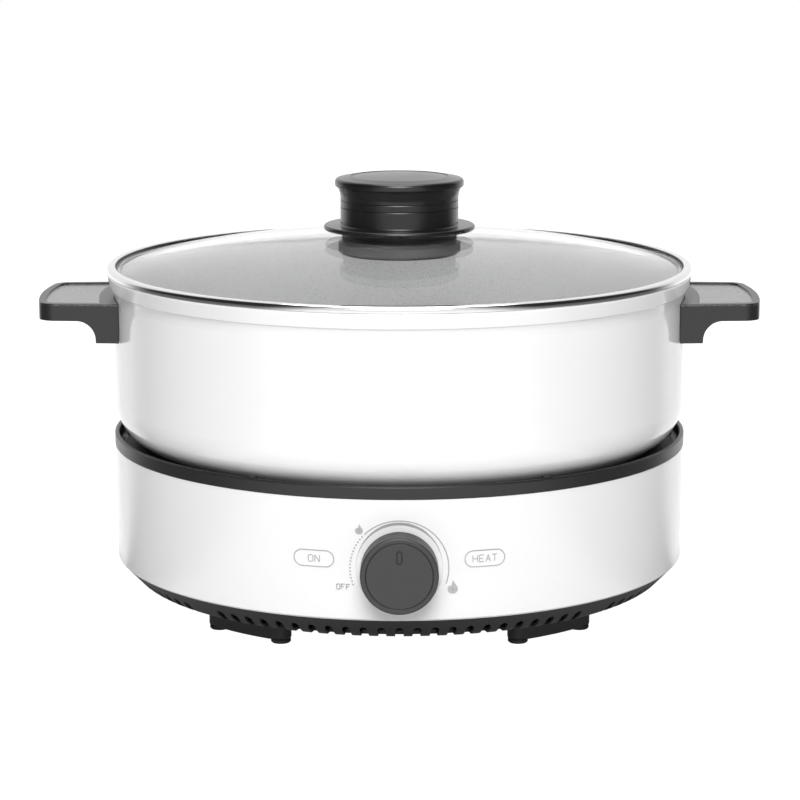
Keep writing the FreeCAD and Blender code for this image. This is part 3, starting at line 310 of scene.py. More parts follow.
looks = {  # what each finish changes in the usual look
    "whiteShellFinish": dict(color=0.84, shade=0.81, shine=0.13, dull=0.18, coat=0.3, coatRoughness=0.08,
                             grain=2600.0, bump=0.05, depth=0.02, edgeRadius=0.5, wear=0.15),
    "coverFinish": dict(color=0.012, shade=0.016, shine=0.42, dull=0.55, grain=1800.0, bump=0.35, depth=0.06,
                        edgeRadius=0.4, wear=0.3),
    "footRubber": dict(color=0.014, shade=0.03, shine=0.7, dull=0.85, grain=2400.0, bump=0.3, wear=0.25),
    "platedSteel": dict(color=0.62, shade=0.45, shine=0.25, dull=0.42, metallic=1.0, grain=3500.0, bump=0.12,
                        edgeRadius=0.25, wear=0.4),
    "castPlate": dict(color=0.55, shade=0.44, shine=0.32, dull=0.5, metallic=1.0, rings=0.7, bump=0.25,
                      depth=0.05, wear=0.4),
    "elementTube": dict(color=(0.22, 0.19, 0.17), shade=(0.32, 0.24, 0.18), shine=0.45, dull=0.65,
                        metallic=1.0, grain=1600.0, bump=0.25, toneScale=45.0),
    "pressedSheet": dict(color=0.5, shade=0.4, shine=0.28, dull=0.45, metallic=1.0, grain=1200.0, bump=0.15,
                         toneScale=60.0, wear=0.4),
    "innerPlastic": dict(color=0.11, shade=0.15, shine=0.4, dull=0.5, grain=1500.0, bump=0.2),
    "lampBoard": dict(color=(0.03, 0.16, 0.06), shade=(0.02, 0.11, 0.05), shine=0.25, dull=0.4, grain=800.0),
    "lampBody": dict(color=(0.8, 0.74, 0.55), shade=(0.7, 0.62, 0.42), shine=0.2, dull=0.3, coat=0.4),
    "inletPlastic": dict(color=0.014, shade=0.022, shine=0.38, dull=0.5, grain=1500.0, bump=0.25, wear=0.2),
    "contactMetal": dict(color=(0.75, 0.68, 0.5), shade=(0.6, 0.5, 0.34), shine=0.2, dull=0.35, metallic=1.0,
                         grain=2500.0, bump=0.1),
    "leadRed": dict(color=(0.24, 0.05, 0.035), shade=(0.32, 0.09, 0.06), shine=0.5, dull=0.65, grain=1500.0),
    "leadGreen": dict(color=(0.12, 0.26, 0.04), shade=(0.5, 0.42, 0.04), shine=0.5, dull=0.65, grain=1500.0,
                      toneScale=140.0),
    "dialFinish": dict(color=0.03, shade=0.036, shine=0.42, dull=0.5, grain=3200.0, bump=0.12, depth=0.03,
                       edgeRadius=0.25, wear=0.2),
    "collarFinish": dict(color=0.115, shade=0.13, shine=0.6, dull=0.7, grain=2500.0, bump=0.1, specular=0.2),
    "silicone": dict(color=0.012, shade=0.02, shine=0.45, dull=0.6, grain=2000.0, bump=0.1),
    "polishedRing": dict(color=0.78, shade=0.7, shine=0.07, dull=0.13, metallic=1.0, grain=1500.0, bump=0.03,
                         depth=0.02, edgeRadius=0.3, toneScale=10.0),
    "printInk": dict(color=0.44, shade=0.48, shine=0.4, dull=0.5, grain=3000.0, bump=0.05),
    # painted shade: the dark edge round the pointer's recess in the dial
    "pointerPaintedShade": dict(color=0.012, shade=0.02, shine=0.5, dull=0.6, grain=3000.0, bump=0.05),
}
finishes = {name: makeFinish(name, look) for name, look in looks.items()}


# finishes with their own build


def placeParts(tree, spot):  # the place on the object, split into X, Y and the height over the table
    place = placeNode(tree, "ShaderNodeTexCoord", spot)
    apart = placeNode(tree, "ShaderNodeSeparateXYZ", (spot[0] + 1, spot[1]))
    join(tree, place.outputs["Object"], apart.inputs[0])
    return apart


def lengthOf(tree, first, second, spot):
    firstSquare = mathNode(tree, "POWER", first, 2.0, spot)
    secondSquare = mathNode(tree, "POWER", second, 2.0, (spot[0], spot[1] + 1))
    squares = mathNode(tree, "ADD", firstSquare, secondSquare, (spot[0] + 1, spot[1]))
    return mathNode(tree, "SQRT", squares, None, (spot[0] + 2, spot[1]))


def radiusOf(tree, apart, spot):  # distance from the pot's axis
    return lengthOf(tree, apart.outputs["X"], apart.outputs["Y"], spot)


def mixColors(tree, mask, first, second, spot):
    mix = placeNode(tree, "ShaderNodeMix", spot, data_type="RGBA")
    join(tree, mask, mix.inputs[0])
    for index, value in ((6, first), (7, second)):
        if isinstance(value, tuple):
            mix.inputs[index].default_value = value
        else:
            join(tree, value, mix.inputs[index])
    return mix.outputs[2]


def mixValues(tree, mask, first, second, spot):
    mix = placeNode(tree, "ShaderNodeMix", spot)
    join(tree, mask, mix.inputs["Factor"])
    for name, value in (("A", first), ("B", second)):
        if isinstance(value, (int, float)):
            mix.inputs[name].default_value = value
        else:
            join(tree, value, mix.inputs[name])
    return mix.outputs["Result"]


potLook = dict(white=0.86, whiteShade=0.83, whiteScale=18.0, coatGrey=0.42, coatGreyShade=0.38,
               coatScale=60.0, speckle=0.24, speckleShare=0.5, grain=1400.0, roundness=0.35, bump=0.12,
               depth=0.02, cornerRadius=124.2, cornerHeight=102.5, skin=20.6, varnish=0.3,
               varnishRoughness=0.06)
glossMarks = dict(Scale=9.0, Shine=0.1, Dull=0.17)
coatMarks = dict(Scale=16.0, Shine=0.34, Dull=0.46)


def makePotFinish():  # gloss white outside, light grey speckled non-stick coat inside
    material, tree, shader = newFinish("potFinish")
    apart = placeParts(tree, (-7, 0))
    radius = radiusOf(tree, apart, (-5, 0))
    out = mathNode(tree, "SUBTRACT", radius, potLook["cornerRadius"] * mm, (-2, 0))
    out = mathNode(tree, "MAXIMUM", out, 0.0, (-1, 0))
    down = mathNode(tree, "SUBTRACT", potLook["cornerHeight"] * mm, apart.outputs["Z"], (-2, 1))
    down = mathNode(tree, "MAXIMUM", down, 0.0, (-1, 1))
    far = lengthOf(tree, out, down, (0, 0))
    inside = mathNode(tree, "LESS_THAN", far, potLook["skin"] * mm, (3, 0))
    white = useGroup(tree, "tone", (0, 3), Main=rgb(potLook["white"]), Other=rgb(potLook["whiteShade"]),
                     Scale=potLook["whiteScale"])
    coat = useGroup(tree, "tone", (0, 5), Main=rgb(potLook["coatGrey"]), Other=rgb(potLook["coatGreyShade"]),
                    Scale=potLook["coatScale"])
    grain = useGroup(tree, "grain", (0, 7), Scale=potLook["grain"], Roundness=potLook["roundness"])
    pits = mathNode(tree, "MULTIPLY", grain.outputs["Pits"], potLook["speckleShare"], (1, 7))
    speckled = mixColors(tree, pits, coat.outputs["Color"], rgb(potLook["speckle"]), (2, 5))
    color = mixColors(tree, inside, white.outputs["Color"], speckled, (4, 3))
    glossShine = useGroup(tree, "handling", (0, 9), **glossMarks)
    coatShine = useGroup(tree, "handling", (0, 11), **coatMarks)
    rough = mixValues(tree, inside, glossShine.outputs["Roughness"], coatShine.outputs["Roughness"], (4, 9))
    bump = placeNode(tree, "ShaderNodeBump", (5, 6))
    bump.inputs["Distance"].default_value = potLook["depth"] * mm
    bump.inputs["Strength"].default_value = potLook["bump"]
    join(tree, mixValues(tree, inside, 0.0, grain.outputs["Height"], (4, 6)), bump.inputs["Height"])
    join(tree, color, shader.inputs["Base Color"])
    join(tree, rough, shader.inputs["Roughness"])
    join(tree, bump.outputs["Normal"], shader.inputs["Normal"])
    shader.inputs["Coat Weight"].default_value = potLook["varnish"]
    shader.inputs["Coat Roughness"].default_value = potLook["varnishRoughness"]
    return material


def between(tree, value, limits, spot):
    over = mathNode(tree, "GREATER_THAN", value, limits[0] * mm, spot)
    under = mathNode(tree, "LESS_THAN", value, limits[1] * mm, (spot[0], spot[1] + 1))
    return mathNode(tree, "MULTIPLY", over, under, (spot[0] + 1, spot[1]))


# the stippled area lies between two heights and, on the deck, between two radii
frameLook = dict(heights=(79.1, 79.5), radii=(99.0, 141.8), color=0.011, shade=0.016, pit=0.11,
                 stipple=900.0, stippleRoughness=0.55, bump=0.6, depth=0.12, shine=0.3, dull=0.38,
                 edgeRadius=0.5, coat=0.0, coatRoughness=0.2)
handleLook = dict(heights=(155.0, 155.4), radii=None, color=0.014, shade=0.019, pit=0.12, stipple=760.0,
                  stippleRoughness=0.3, bump=0.35, depth=0.08, shine=0.3, dull=0.36, edgeRadius=0.3,
                  coat=0.6, coatRoughness=0.22)
stippledBuild = dict(toneScale=30.0, marksScale=15.0, roundness=0.75, pitShare=0.5, fineGrain=2600.0,
                     fineRoundness=0.4, fineHeight=0.1)


def makeStippledFinish(name, look):  # smooth dark plastic with a stippled area
    material, tree, shader = newFinish(name)
    apart = placeParts(tree, (-7, 0))
    mask = between(tree, apart.outputs["Z"], look["heights"], (-2, -4))
    if look["radii"]:
        ringMask = between(tree, radiusOf(tree, apart, (-5, -2)), look["radii"], (-2, -2))
        mask = mathNode(tree, "MULTIPLY", mask, ringMask, (0, -3))
    tone = useGroup(tree, "tone", (0, 1), Main=rgb(look["color"]), Other=rgb(look["shade"]),
                    Scale=stippledBuild["toneScale"])
    stipple = useGroup(tree, "grain", (0, 3), Scale=look["stipple"], Roundness=stippledBuild["roundness"])
    fine = useGroup(tree, "grain", (0, 5), Scale=stippledBuild["fineGrain"],
                    Roundness=stippledBuild["fineRoundness"])
    edge = useGroup(tree, "edge", (0, 7), Radius=look["edgeRadius"] * mm)
    pitted = mathNode(tree, "MULTIPLY", mask, stipple.outputs["Pits"], (2, 2))
    pitted = mathNode(tree, "MULTIPLY", pitted, stippledBuild["pitShare"], (3, 2))
    color = mixColors(tree, pitted, tone.outputs["Color"], rgb(look["pit"]), (4, 1))
    low = mathNode(tree, "MULTIPLY", fine.outputs["Height"], stippledBuild["fineHeight"], (2, 5))
    height = mixValues(tree, mask, low, stipple.outputs["Height"], (3, 4))
    bump = placeNode(tree, "ShaderNodeBump", (5, 5))
    bump.inputs["Strength"].default_value = look["bump"]
    bump.inputs["Distance"].default_value = look["depth"] * mm
    join(tree, height, bump.inputs["Height"])
    join(tree, edge.outputs["Normal"], bump.inputs["Normal"])
    marks = useGroup(tree, "handling", (0, 9), Scale=stippledBuild["marksScale"], Shine=look["shine"],
                     Dull=look["dull"])
    rough = mixValues(tree, mask, marks.outputs["Roughness"], look["stippleRoughness"], (4, 8))
    join(tree, color, shader.inputs["Base Color"])
    join(tree, rough, shader.inputs["Roughness"])
    join(tree, bump.outputs["Normal"], shader.inputs["Normal"])
    join(tree, mathNode(tree, "MULTIPLY", mask, look["coat"], (4, 10)), shader.inputs["Coat Weight"])
    shader.inputs["Coat Roughness"].default_value = look["coatRoughness"]
    return material


knobLook = dict(color=0.008, shade=0.012, toneScale=30.0, shine=0.22, dull=0.3, marksScale=20.0,
                edgeRadius=0.5, grooves=(204.4, 200.8), grooveWidth=0.35, grooveDepth=0.35, bump=0.6,
                grain=3000.0, roundness=0.4, grainHeight=0.03)


def makeKnobFinish():  # satin dark plastic with two fine grooves round the waist
    material, tree, shader = newFinish("knobFinish")
    height = placeParts(tree, (-7, 0)).outputs["Z"]
    lines = None
    for row, groove in enumerate(knobLook["grooves"]):
        away = mathNode(tree, "SUBTRACT", height, groove * mm, (-2, row))
        away = mathNode(tree, "ABSOLUTE", away, None, (-1, row))
        share = mathNode(tree, "DIVIDE", away, knobLook["grooveWidth"] * mm, (0, row))
        near = mathNode(tree, "SUBTRACT", 1.0, share, (1, row), clamp=True)
        lines = near if lines is None else mathNode(tree, "ADD", lines, near, (2, 0))
    tone = useGroup(tree, "tone", (0, 3), Main=rgb(knobLook["color"]), Other=rgb(knobLook["shade"]),
                    Scale=knobLook["toneScale"])
    marks = useGroup(tree, "handling", (0, 5), Scale=knobLook["marksScale"], Shine=knobLook["shine"],
                     Dull=knobLook["dull"])
    edge = useGroup(tree, "edge", (0, 7), Radius=knobLook["edgeRadius"] * mm)
    grain = useGroup(tree, "grain", (0, 9), Scale=knobLook["grain"], Roundness=knobLook["roundness"])
    fine = mathNode(tree, "MULTIPLY", grain.outputs["Height"], knobLook["grainHeight"], (2, 9))
    bump = placeNode(tree, "ShaderNodeBump", (5, 5))
    bump.inputs["Strength"].default_value = knobLook["bump"]
    bump.inputs["Distance"].default_value = knobLook["grooveDepth"] * mm
    join(tree, mathNode(tree, "SUBTRACT", fine, lines, (4, 6)), bump.inputs["Height"])
    join(tree, edge.outputs["Normal"], bump.inputs["Normal"])
    join(tree, tone.outputs["Color"], shader.inputs["Base Color"])
    join(tree, marks.outputs["Roughness"], shader.inputs["Roughness"])
    join(tree, bump.outputs["Normal"], shader.inputs["Normal"])
    return material


glassLook = dict(color=0.99, shade=0.98, toneScale=8.0, ior=1.07)  # bends light less than real glass
glassMarks = dict(Scale=6.0, Shine=0.0, Dull=0.035)


def makeGlassFinish():  # clear toughened glass with a faint haze of handling
    material, tree, shader = newFinish("glassFinish")
    marks = useGroup(tree, "handling", (0, 0), **glassMarks)
    tone = useGroup(tree, "tone", (0, 2), Main=rgb(glassLook["color"]), Other=rgb(glassLook["shade"]),
                    Scale=glassLook["toneScale"])
    join(tree, marks.outputs["Roughness"], shader.inputs["Roughness"])
    join(tree, tone.outputs["Color"], shader.inputs["Base Color"])
    shader.inputs["Transmission Weight"].default_value = 1.0
    shader.inputs["IOR"].default_value = glassLook["ior"]
    return material


windowLook = dict(color=0.84, shade=0.8, toneScale=40.0, milk=0.1, milkDepth=2.0)
windowMarks = dict(Scale=18.0, Shine=0.18, Dull=0.26)


def makeWindowFinish():  # milky lamp window, a shade off the shell
    material, tree, shader = newFinish("windowFinish")
    tone = useGroup(tree, "tone", (0, 0), Main=rgb(windowLook["color"]), Other=rgb(windowLook["shade"]),
                    Scale=windowLook["toneScale"])
    marks = useGroup(tree, "handling", (0, 2), **windowMarks)
    join(tree, tone.outputs["Color"], shader.inputs["Base Color"])
    join(tree, marks.outputs["Roughness"], shader.inputs["Roughness"])
    shader.inputs["Subsurface Weight"].default_value = windowLook["milk"]
    shader.inputs["Subsurface Radius"].default_value = [windowLook["milkDepth"] * mm] * 3
    return material


finishes["potFinish"] = makePotFinish()
finishes["frameFinish"] = makeStippledFinish("frameFinish", frameLook)
finishes["handleFinish"] = makeStippledFinish("handleFinish", handleLook)
finishes["knobFinish"] = makeKnobFinish()
finishes["glassFinish"] = makeGlassFinish()
finishes["windowFinish"] = makeWindowFinish()

finishOfNode = {
    "whiteShellFinish": ["outer_shell"],
    "frameFinish": ["top_frame"],
    "coverFinish": ["bottom_cover", "foot_rails"],
    "footRubber": ["rubber_feet"],
    "platedSteel": ["cover_screws", "shield_screws", "plate_screws", "bracket_screws", "inlet_screws",
                    "handle_screws", "knob_screw", "regulator_nut", "sensor_spring", "rail_screws"],
    "castPlate": ["heating_plate", "sensor_cap"],
    "elementTube": ["heating_element"],
    "pressedSheet": ["heat_shield", "plate_spacers", "sensor_housing", "fuse_clip", "control_bracket",
                     "thermal_fuse"],
    "innerPlastic": ["power_regulator"],
    "lampBoard": ["lamp_boards"],
    "lampBody": ["indicator_lamps", "sensor_bead"],
    "inletPlastic": ["supply_inlet"],
    "contactMetal": ["inlet_pins", "dial_shaft", "knob_insert"],
    "leadRed": ["live_lead", "neutral_lead", "load_lead"],
    "leadGreen": ["earth_lead"],
    "dialFinish": ["dial_knob"],
    "silicone": ["edge_seal", "upper_washer"],
    "polishedRing": ["lid_ring"],
    "potFinish": ["pot_body"],
    "handleFinish": ["handle_left", "handle_right"],
    "knobFinish": ["knob_body", "knob_cap"],
    "collarFinish": ["inner_boss", "lower_seal_ring"],
    "glassFinish": ["glass_dome"],
    "windowFinish": ["power_light_window", "heating_light_window"],
}
for finish, names in finishOfNode.items():
    for name in names:
        materials = nodes[name].data.materials
        materials.clear()
        materials.append(finishes[finish])
print("finishes placed on", sum(len(names) for names in finishOfNode.values()), "nodes")


# helpers for the pieces made here


def addPlate(build, top, low):  # a thin plate between two outlines of the same count
    top = [build.verts.new(corner) for corner in top]
    low = [build.verts.new(corner) for corner in low]
    build.faces.new(top)
    build.faces.new(list(reversed(low)))
    for k in range(len(top)):
        build.faces.new((top[k - 1], low[k - 1], low[k], top[k]))


def makePiece(name, build, finish, body):
    mesh = bpy.data.meshes.new(name)
    build.to_mesh(mesh)
    build.free()
    piece = bpy.data.objects.new(name, mesh)
    bpy.context.scene.collection.objects.link(piece)
    mesh.materials.append(finishes[finish])
    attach(piece, body)
    return piece


# printed marks on the shell and the windows

shell = dict(footRadius=146.6, topRadius=147.0, foot=21.5, top=80.5)
ink = dict(depth=0.12, onShell=0.05, onWindow=0.2)  # how thick the marks are, and how far they stand out


def shellRadius(height):
    share = (height - shell["foot"]) / (shell["top"] - shell["foot"])
    return shell["footRadius"] + (shell["topRadius"] - shell["footRadius"]) * share


def onShell(x, z, proud):
    radius = shellRadius(z) + proud
    return Vector((x, -math.sqrt(radius * radius - x * x), z)) * mm


def printPiece(name, patches, proud):
    build = bmesh.new()
    for patch in patches:
        addPlate(build, [onShell(x, z, proud) for x, z in patch],
                 [onShell(x, z, proud - ink["depth"]) for x, z in patch])
    bmesh.ops.recalc_face_normals(build, faces=build.faces)
    makePiece(name, build, "printInk", "base")


def strokeAlong(points, width, closed=False):  # a line of quads, short enough to bend with the shell
    patches = []
    count = len(points)
    sides = []
    for k in range(count):
        before = points[k - 1] if (k or closed) else points[k]
        after = points[(k + 1) % count] if (k + 1 < count or closed) else points[k]
        run = Vector((after[0] - before[0], after[1] - before[1])).normalized()
        sides.append((-run.y * width / 2, run.x * width / 2))
    for k in range(count if closed else count - 1):
        n = (k + 1) % count
        (x0, z0), (x1, z1) = points[k], points[n]
        (a0, b0), (a1, b1) = sides[k], sides[n]
        patches.append([(x0 - a0, z0 - b0), (x1 - a1, z1 - b1), (x1 + a1, z1 + b1), (x0 + a0, z0 + b0)])
    return patches


def ringPoints(cx, cz, radius, start, end, count):
    steps = [math.radians(start + (end - start) * k / (count - 1)) for k in range(count)]
    return [(cx + radius * math.sin(t), cz + radius * math.cos(t)) for t in steps]


capsule = dict(roundSteps=16, longestStep=1.5)


def capsulePoints(cx, cz, width, tall):  # a round-ended outline, its straight sides cut short enough to bend
    half = tall / 2
    run = width / 2 - half
    right = []
    for k in range(capsule["roundSteps"] + 1):
        t = math.pi * k / capsule["roundSteps"]
        right.append((cx + run + half * math.sin(t), cz + half * math.cos(t)))
    corners = right + [(2 * cx - x, 2 * cz - z) for x, z in right]
    outline = []
    for (x, z), (nextX, nextZ) in zip(corners, corners[1:] + corners[:1]):
        steps = max(1, int(abs(nextX - x) / capsule["longestStep"]))
        outline += [(x + (nextX - x) * j / steps, z + (nextZ - z) * j / steps) for j in range(steps)]
    return outline


dialScale = dict(centre=(0.0, 47.1), radius=23.3, lineWidth=0.55, lineStart=-45.0, lineEnd=109.0,
                 lineSteps=60, dots=16, dotStart=-49.0, dotEnd=-110.0, dotSize=0.44, dotCorners=8)


def makeDialScale():
    cx, cz = dialScale["centre"]
    line = ringPoints(cx, cz, dialScale["radius"], dialScale["lineStart"], dialScale["lineEnd"],
                      dialScale["lineSteps"])
    patches = strokeAlong(line, dialScale["lineWidth"])
    size, corners = dialScale["dotSize"], dialScale["dotCorners"]
    turns = [2 * math.pi * k / corners for k in range(corners)]
    for x, z in ringPoints(cx, cz, dialScale["radius"], dialScale["dotStart"], dialScale["dotEnd"],
                           dialScale["dots"]):
        patches.append([(x + size * math.sin(t), z + size * math.cos(t)) for t in turns])
    printPiece("dialScale", patches, ink["onShell"])


flames = dict(small=(-19.0, 66.0, 3.9), large=(25.2, 37.7, 5.2))  # x, height and size of each
flameCore = (0.0, -0.2)
flameOutline = [(0.02, 0.68), (0.14, 0.42), (0.32, 0.18), (0.46, -0.08), (0.45, -0.34), (0.28, -0.54),
                (0.0, -0.62), (-0.28, -0.54), (-0.45, -0.34), (-0.48, -0.12), (-0.42, 0.06), (-0.33, 0.19),
                (-0.22, 0.06), (-0.12, 0.18), (-0.05, 0.40)]


def makeFlames():  # round flames with a second, lower tongue
    patches = []
    for cx, cz, size in flames.values():
        for corner, nextCorner in zip(flameOutline, flameOutline[1:] + flameOutline[:1]):
            patches.append([(cx + x * size, cz + z * size) for x, z in (flameCore, nextCorner, corner)])
    printPiece("flameMarks", patches, ink["onShell"])


glyphs = {  # strokes of plain capitals on a grid that is 4 wide and 6 tall
    "O": [[(1, 0), (3, 0), (4, 1.2), (4, 4.8), (3, 6), (1, 6), (0, 4.8), (0, 1.2), (1, 0)]],
    "F": [[(0, 0), (0, 6), (4, 6)], [(0, 3.2), (3.2, 3.2)]],
    "N": [[(0, 0), (0, 6), (4, 0), (4, 6)]],
    "H": [[(0, 0), (0, 6)], [(4, 0), (4, 6)], [(0, 3), (4, 3)]],
    "E": [[(4, 0), (0, 0), (0, 6), (4, 6)], [(0, 3), (3.4, 3)]],
    "A": [[(0, 0), (2, 6), (4, 0)], [(0.8, 2.2), (3.2, 2.2)]],
    "T": [[(0, 6), (4, 6)], [(2, 6), (2, 0)]],
}
wordings = dict(
    offWord=dict(word="OFF", centre=(-26.6, 37.9), tall=2.5, stroke=0.4),
    powerWord=dict(word="ON", centre=(-40.4, 51.0), tall=3.3, stroke=0.42),
    heatingWord=dict(word="HEAT", centre=(40.4, 51.0), tall=3.3, stroke=0.42),
)


lettering = dict(wide=4, tall=6, gap=1.6)


def wordPatches(word, centre, tall, stroke):
    unit = tall / lettering["tall"]
    step = (lettering["wide"] + lettering["gap"]) * unit
    left = centre[0] - (step * len(word) - lettering["gap"] * unit) / 2
    patches = []
    for place, letter in enumerate(word):
        for line in glyphs[letter]:
            points = [(left + place * step + x * unit, centre[1] - tall / 2 + z * unit) for x, z in line]
            for first, last in zip(points, points[1:]):
                patches += strokeAlong([first, last], stroke)
    return patches


def makeWords():
    for name, word in wordings.items():
        printPiece(name, wordPatches(**word), ink["onWindow"])


windowLines = dict(width=18.9, tall=7.8, offset=40.4, height=51.0, stroke=0.42)


def makeWindowLines():
    for name, side in (("powerWindowLine", -1), ("heatingWindowLine", 1)):
        points = capsulePoints(side * windowLines["offset"], windowLines["height"], windowLines["width"],
                               windowLines["tall"])
        printPiece(name, strokeAlong(points, windowLines["stroke"], closed=True), ink["onWindow"])


makeDialScale()
makeFlames()
makeWords()
makeWindowLines()
print("marks printed")


# pointer sunk in the dial's face: a dark sheet deep in its recess, and on it a face that leaves the sheet's
# edge bare, a painted shadow line round the pointer

pointer = dict(width=2.6, length=6.3, offset=9.0, face=163.2, axisHeight=47.5, shadeSheetSunk=0.42, faceSunk=0.08,
               line=0.5, depth=0.05)


def makePointer(name, finish, shrink, sunk):
    outline = capsulePoints(0.0, 0.0, pointer["length"] - shrink, pointer["width"] - shrink)
    centre = pointer["axisHeight"] + pointer["offset"]
    front = sunk - pointer["face"]
    build = bmesh.new()
    addPlate(build, [Vector((across, front, centre + along)) * mm for along, across in outline],
             [Vector((across, front + pointer["depth"], centre + along)) * mm for along, across in outline])
    bmesh.ops.recalc_face_normals(build, faces=build.faces)
    makePiece(name, build, finish, "dial")


# the bare edge of this dark sheet is painted shade round the sunk pointer
makePointer("pointerShadeSheet", "pointerPaintedShade", 0.0, pointer["shadeSheetSunk"])
makePointer("pointerFace", "dialFinish", 2 * pointer["line"], pointer["faceSunk"])
print("pointer laid in")


# ring and knob of the lid, turned finely enough for their narrow reflections

turning = dict(turns=720, rounds=10, crease=35.0, cornerShare=0.3)


def arcPoints(first, middle, last):  # points on the circle through three points, first and last included
    (ax, ay), (bx, by), (cx, cy) = first, middle, last
    aa, bb, cc = (x * x + y * y for x, y in (first, middle, last))
    scale = 2 * (ax * (by - cy) + bx * (cy - ay) + cx * (ay - by))
    ux = (aa * (by - cy) + bb * (cy - ay) + cc * (ay - by)) / scale
    uy = (aa * (cx - bx) + bb * (ax - cx) + cc * (bx - ax)) / scale
    start = math.atan2(ay - uy, ax - ux)
    end = math.atan2(cy - uy, cx - ux)
    radius = math.hypot(ax - ux, ay - uy)
    turns = [start + (end - start) * k / turning["rounds"] for k in range(turning["rounds"] + 1)]
    return [(ux + radius * math.cos(turn), uy + radius * math.sin(turn)) for turn in turns]


def cornerPoints(first, corner, last):  # a rounded corner
    share = turning["cornerShare"]
    middle = [sharp + share * (before - sharp) + share * (after - sharp)
              for before, sharp, after in zip(first, corner, last)]
    return arcPoints(first, middle, last)


def turnPiece(name, profile, finish, node):
    build = bmesh.new()
    rows = []
    for k in range(turning["turns"]):
        turn = 2 * math.pi * k / turning["turns"]
        across, along = math.cos(turn), math.sin(turn)
        rows.append([build.verts.new((radius * across * mm, radius * along * mm, height * mm))
                     for radius, height in profile])
    for k, row in enumerate(rows):
        before = rows[k - 1]
        for j in range(len(profile)):
            build.faces.new((before[j - 1], before[j], row[j], row[j - 1]))
    bmesh.ops.recalc_face_normals(build, faces=build.faces)
    for face in build.faces:
        face.smooth = True
    for edge in build.edges:
        edge.smooth = edge.calc_face_angle(0.0) < math.radians(turning["crease"])
    piece = makePiece(name, build, finish, "lid")
    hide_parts(node)


ring = dict(lip=145.5, lipTop=172.2, bevel=0.2, bead=149.85, beadTop=170.4, seat=169.1, bore=147.45,
            foot=166.3, channel=146.85, channelTop=171.6, channelFoot=166.9, shoulder=147.65, curveIn=0.6,
            curveDown=0.5)


def makeRing():
    lip, bead, channel, foot = ring["lip"], ring["bead"], ring["channel"], ring["foot"]
    top, seat, bore = ring["lipTop"], ring["seat"], ring["bore"]
    curve = arcPoints((ring["shoulder"], top), (bead - ring["curveIn"], top - ring["curveDown"]),
                      (bead, ring["beadTop"]))
    turnPiece("polishedLidRing", [
        (lip, ring["channelTop"]), (lip, top - ring["bevel"]), (lip + ring["bevel"], top), *curve,
        (bead, seat), (bore, seat), (bore, foot), (lip, foot), (lip, ring["channelFoot"]),
        (channel, ring["channelFoot"]), (channel, ring["channelTop"]),
    ], "polishedRing", "lid_ring")


knob = dict(foot=189.05, flangeTop=191.65, flange=38.75, edge=1.1, waist=30.25, neckFoot=205.85,
            capFoot=211.25, neck=31.8, flare=0.5, wall=2.4, skirt=1.8, post=7.0, insert=4.4, postTop=202.05,
            fillet=1.0)


def makeKnob():
    foot, top, flange, edge = knob["foot"], knob["flangeTop"], knob["flange"], knob["edge"]
    waist, fillet, cap, neck = knob["waist"], knob["fillet"], knob["capFoot"], knob["neck"]
    neckFoot, post, postTop, insert = knob["neckFoot"], knob["post"], knob["postTop"], knob["insert"]
    hollow, neckHollow = waist - knob["wall"], neck - knob["wall"]
    turnPiece("knobGrip", [
        (insert, foot),
        *cornerPoints((flange - edge, foot), (flange, foot), (flange, foot + edge)),
        *cornerPoints((flange, top - edge), (flange, top), (flange - edge, top)),
        *cornerPoints((waist + fillet, top), (waist, top), (waist, top + fillet)),
        *arcPoints((waist, neckFoot), (waist + knob["flare"], (neckFoot + cap) / 2), (neck, cap)),
        (neckHollow, cap), (neckHollow, cap - knob["skirt"]), (hollow, neckFoot), (hollow, top),
        (post, top), (post, postTop), (insert, postTop),
    ], "knobFinish", "knob_body")


makeKnob()
makeRing()
print("ring and knob turned")


# room, lights and camera

studio = dict(ambient=0.21, throughGlass=1.2, sideDark=0.03)
table = dict(radius=6.0, corners=96, drop=0.0002, paper=0.66, paperShade=0.64, paperScale=3.0, dark=0.2,
             glow=1.05, objectHalf=0.147, shade=0.2, shadeStart=0.14, shadeEnd=0.21)
lamps = dict(
    frontSoftbox=dict(power=60.0, size=1.4, place=(0.0, -2.0, 1.65)),
    topSoftbox=dict(power=16.0, size=1.2, place=(0.0, 0.2, 1.7)),
)
lampTarget = (0.0, 0.0, 0.11)


def makeWorld():  # white to the camera, brighter through glass, dim at the sides in reflections, else even
    world = bpy.data.worlds.new("studio")
    bpy.context.scene.world = world
    world.use_nodes = True
    tree = world.node_tree
    tree.nodes.clear()
    out = placeNode(tree, "ShaderNodeOutputWorld", (8, 0))
    light = placeNode(tree, "ShaderNodeBackground", (6, 0))
    path = placeNode(tree, "ShaderNodeLightPath", (-4, 3))
    place = placeNode(tree, "ShaderNodeTexCoord", (-4, 0))
    sides = useGroup(tree, "sides", (-2, 0), Dim=studio["sideDark"])
    join(tree, place.outputs["Generated"], sides.inputs["Direction"])
    glossy, clear, seen = (path.outputs[f"Is {ray} Ray"] for ray in ("Glossy", "Transmission", "Camera"))
    strength = mixValues(tree, glossy, studio["ambient"], sides.outputs["Strength"], (1, 1))
    strength = mixValues(tree, clear, strength, studio["throughGlass"], (3, 1))
    strength = mixValues(tree, seen, strength, 1.0, (4, 1))
    light.inputs["Color"].default_value = (1, 1, 1, 1)
    join(tree, strength, light.inputs["Strength"])
    join(tree, light.outputs[0], out.inputs["Surface"])


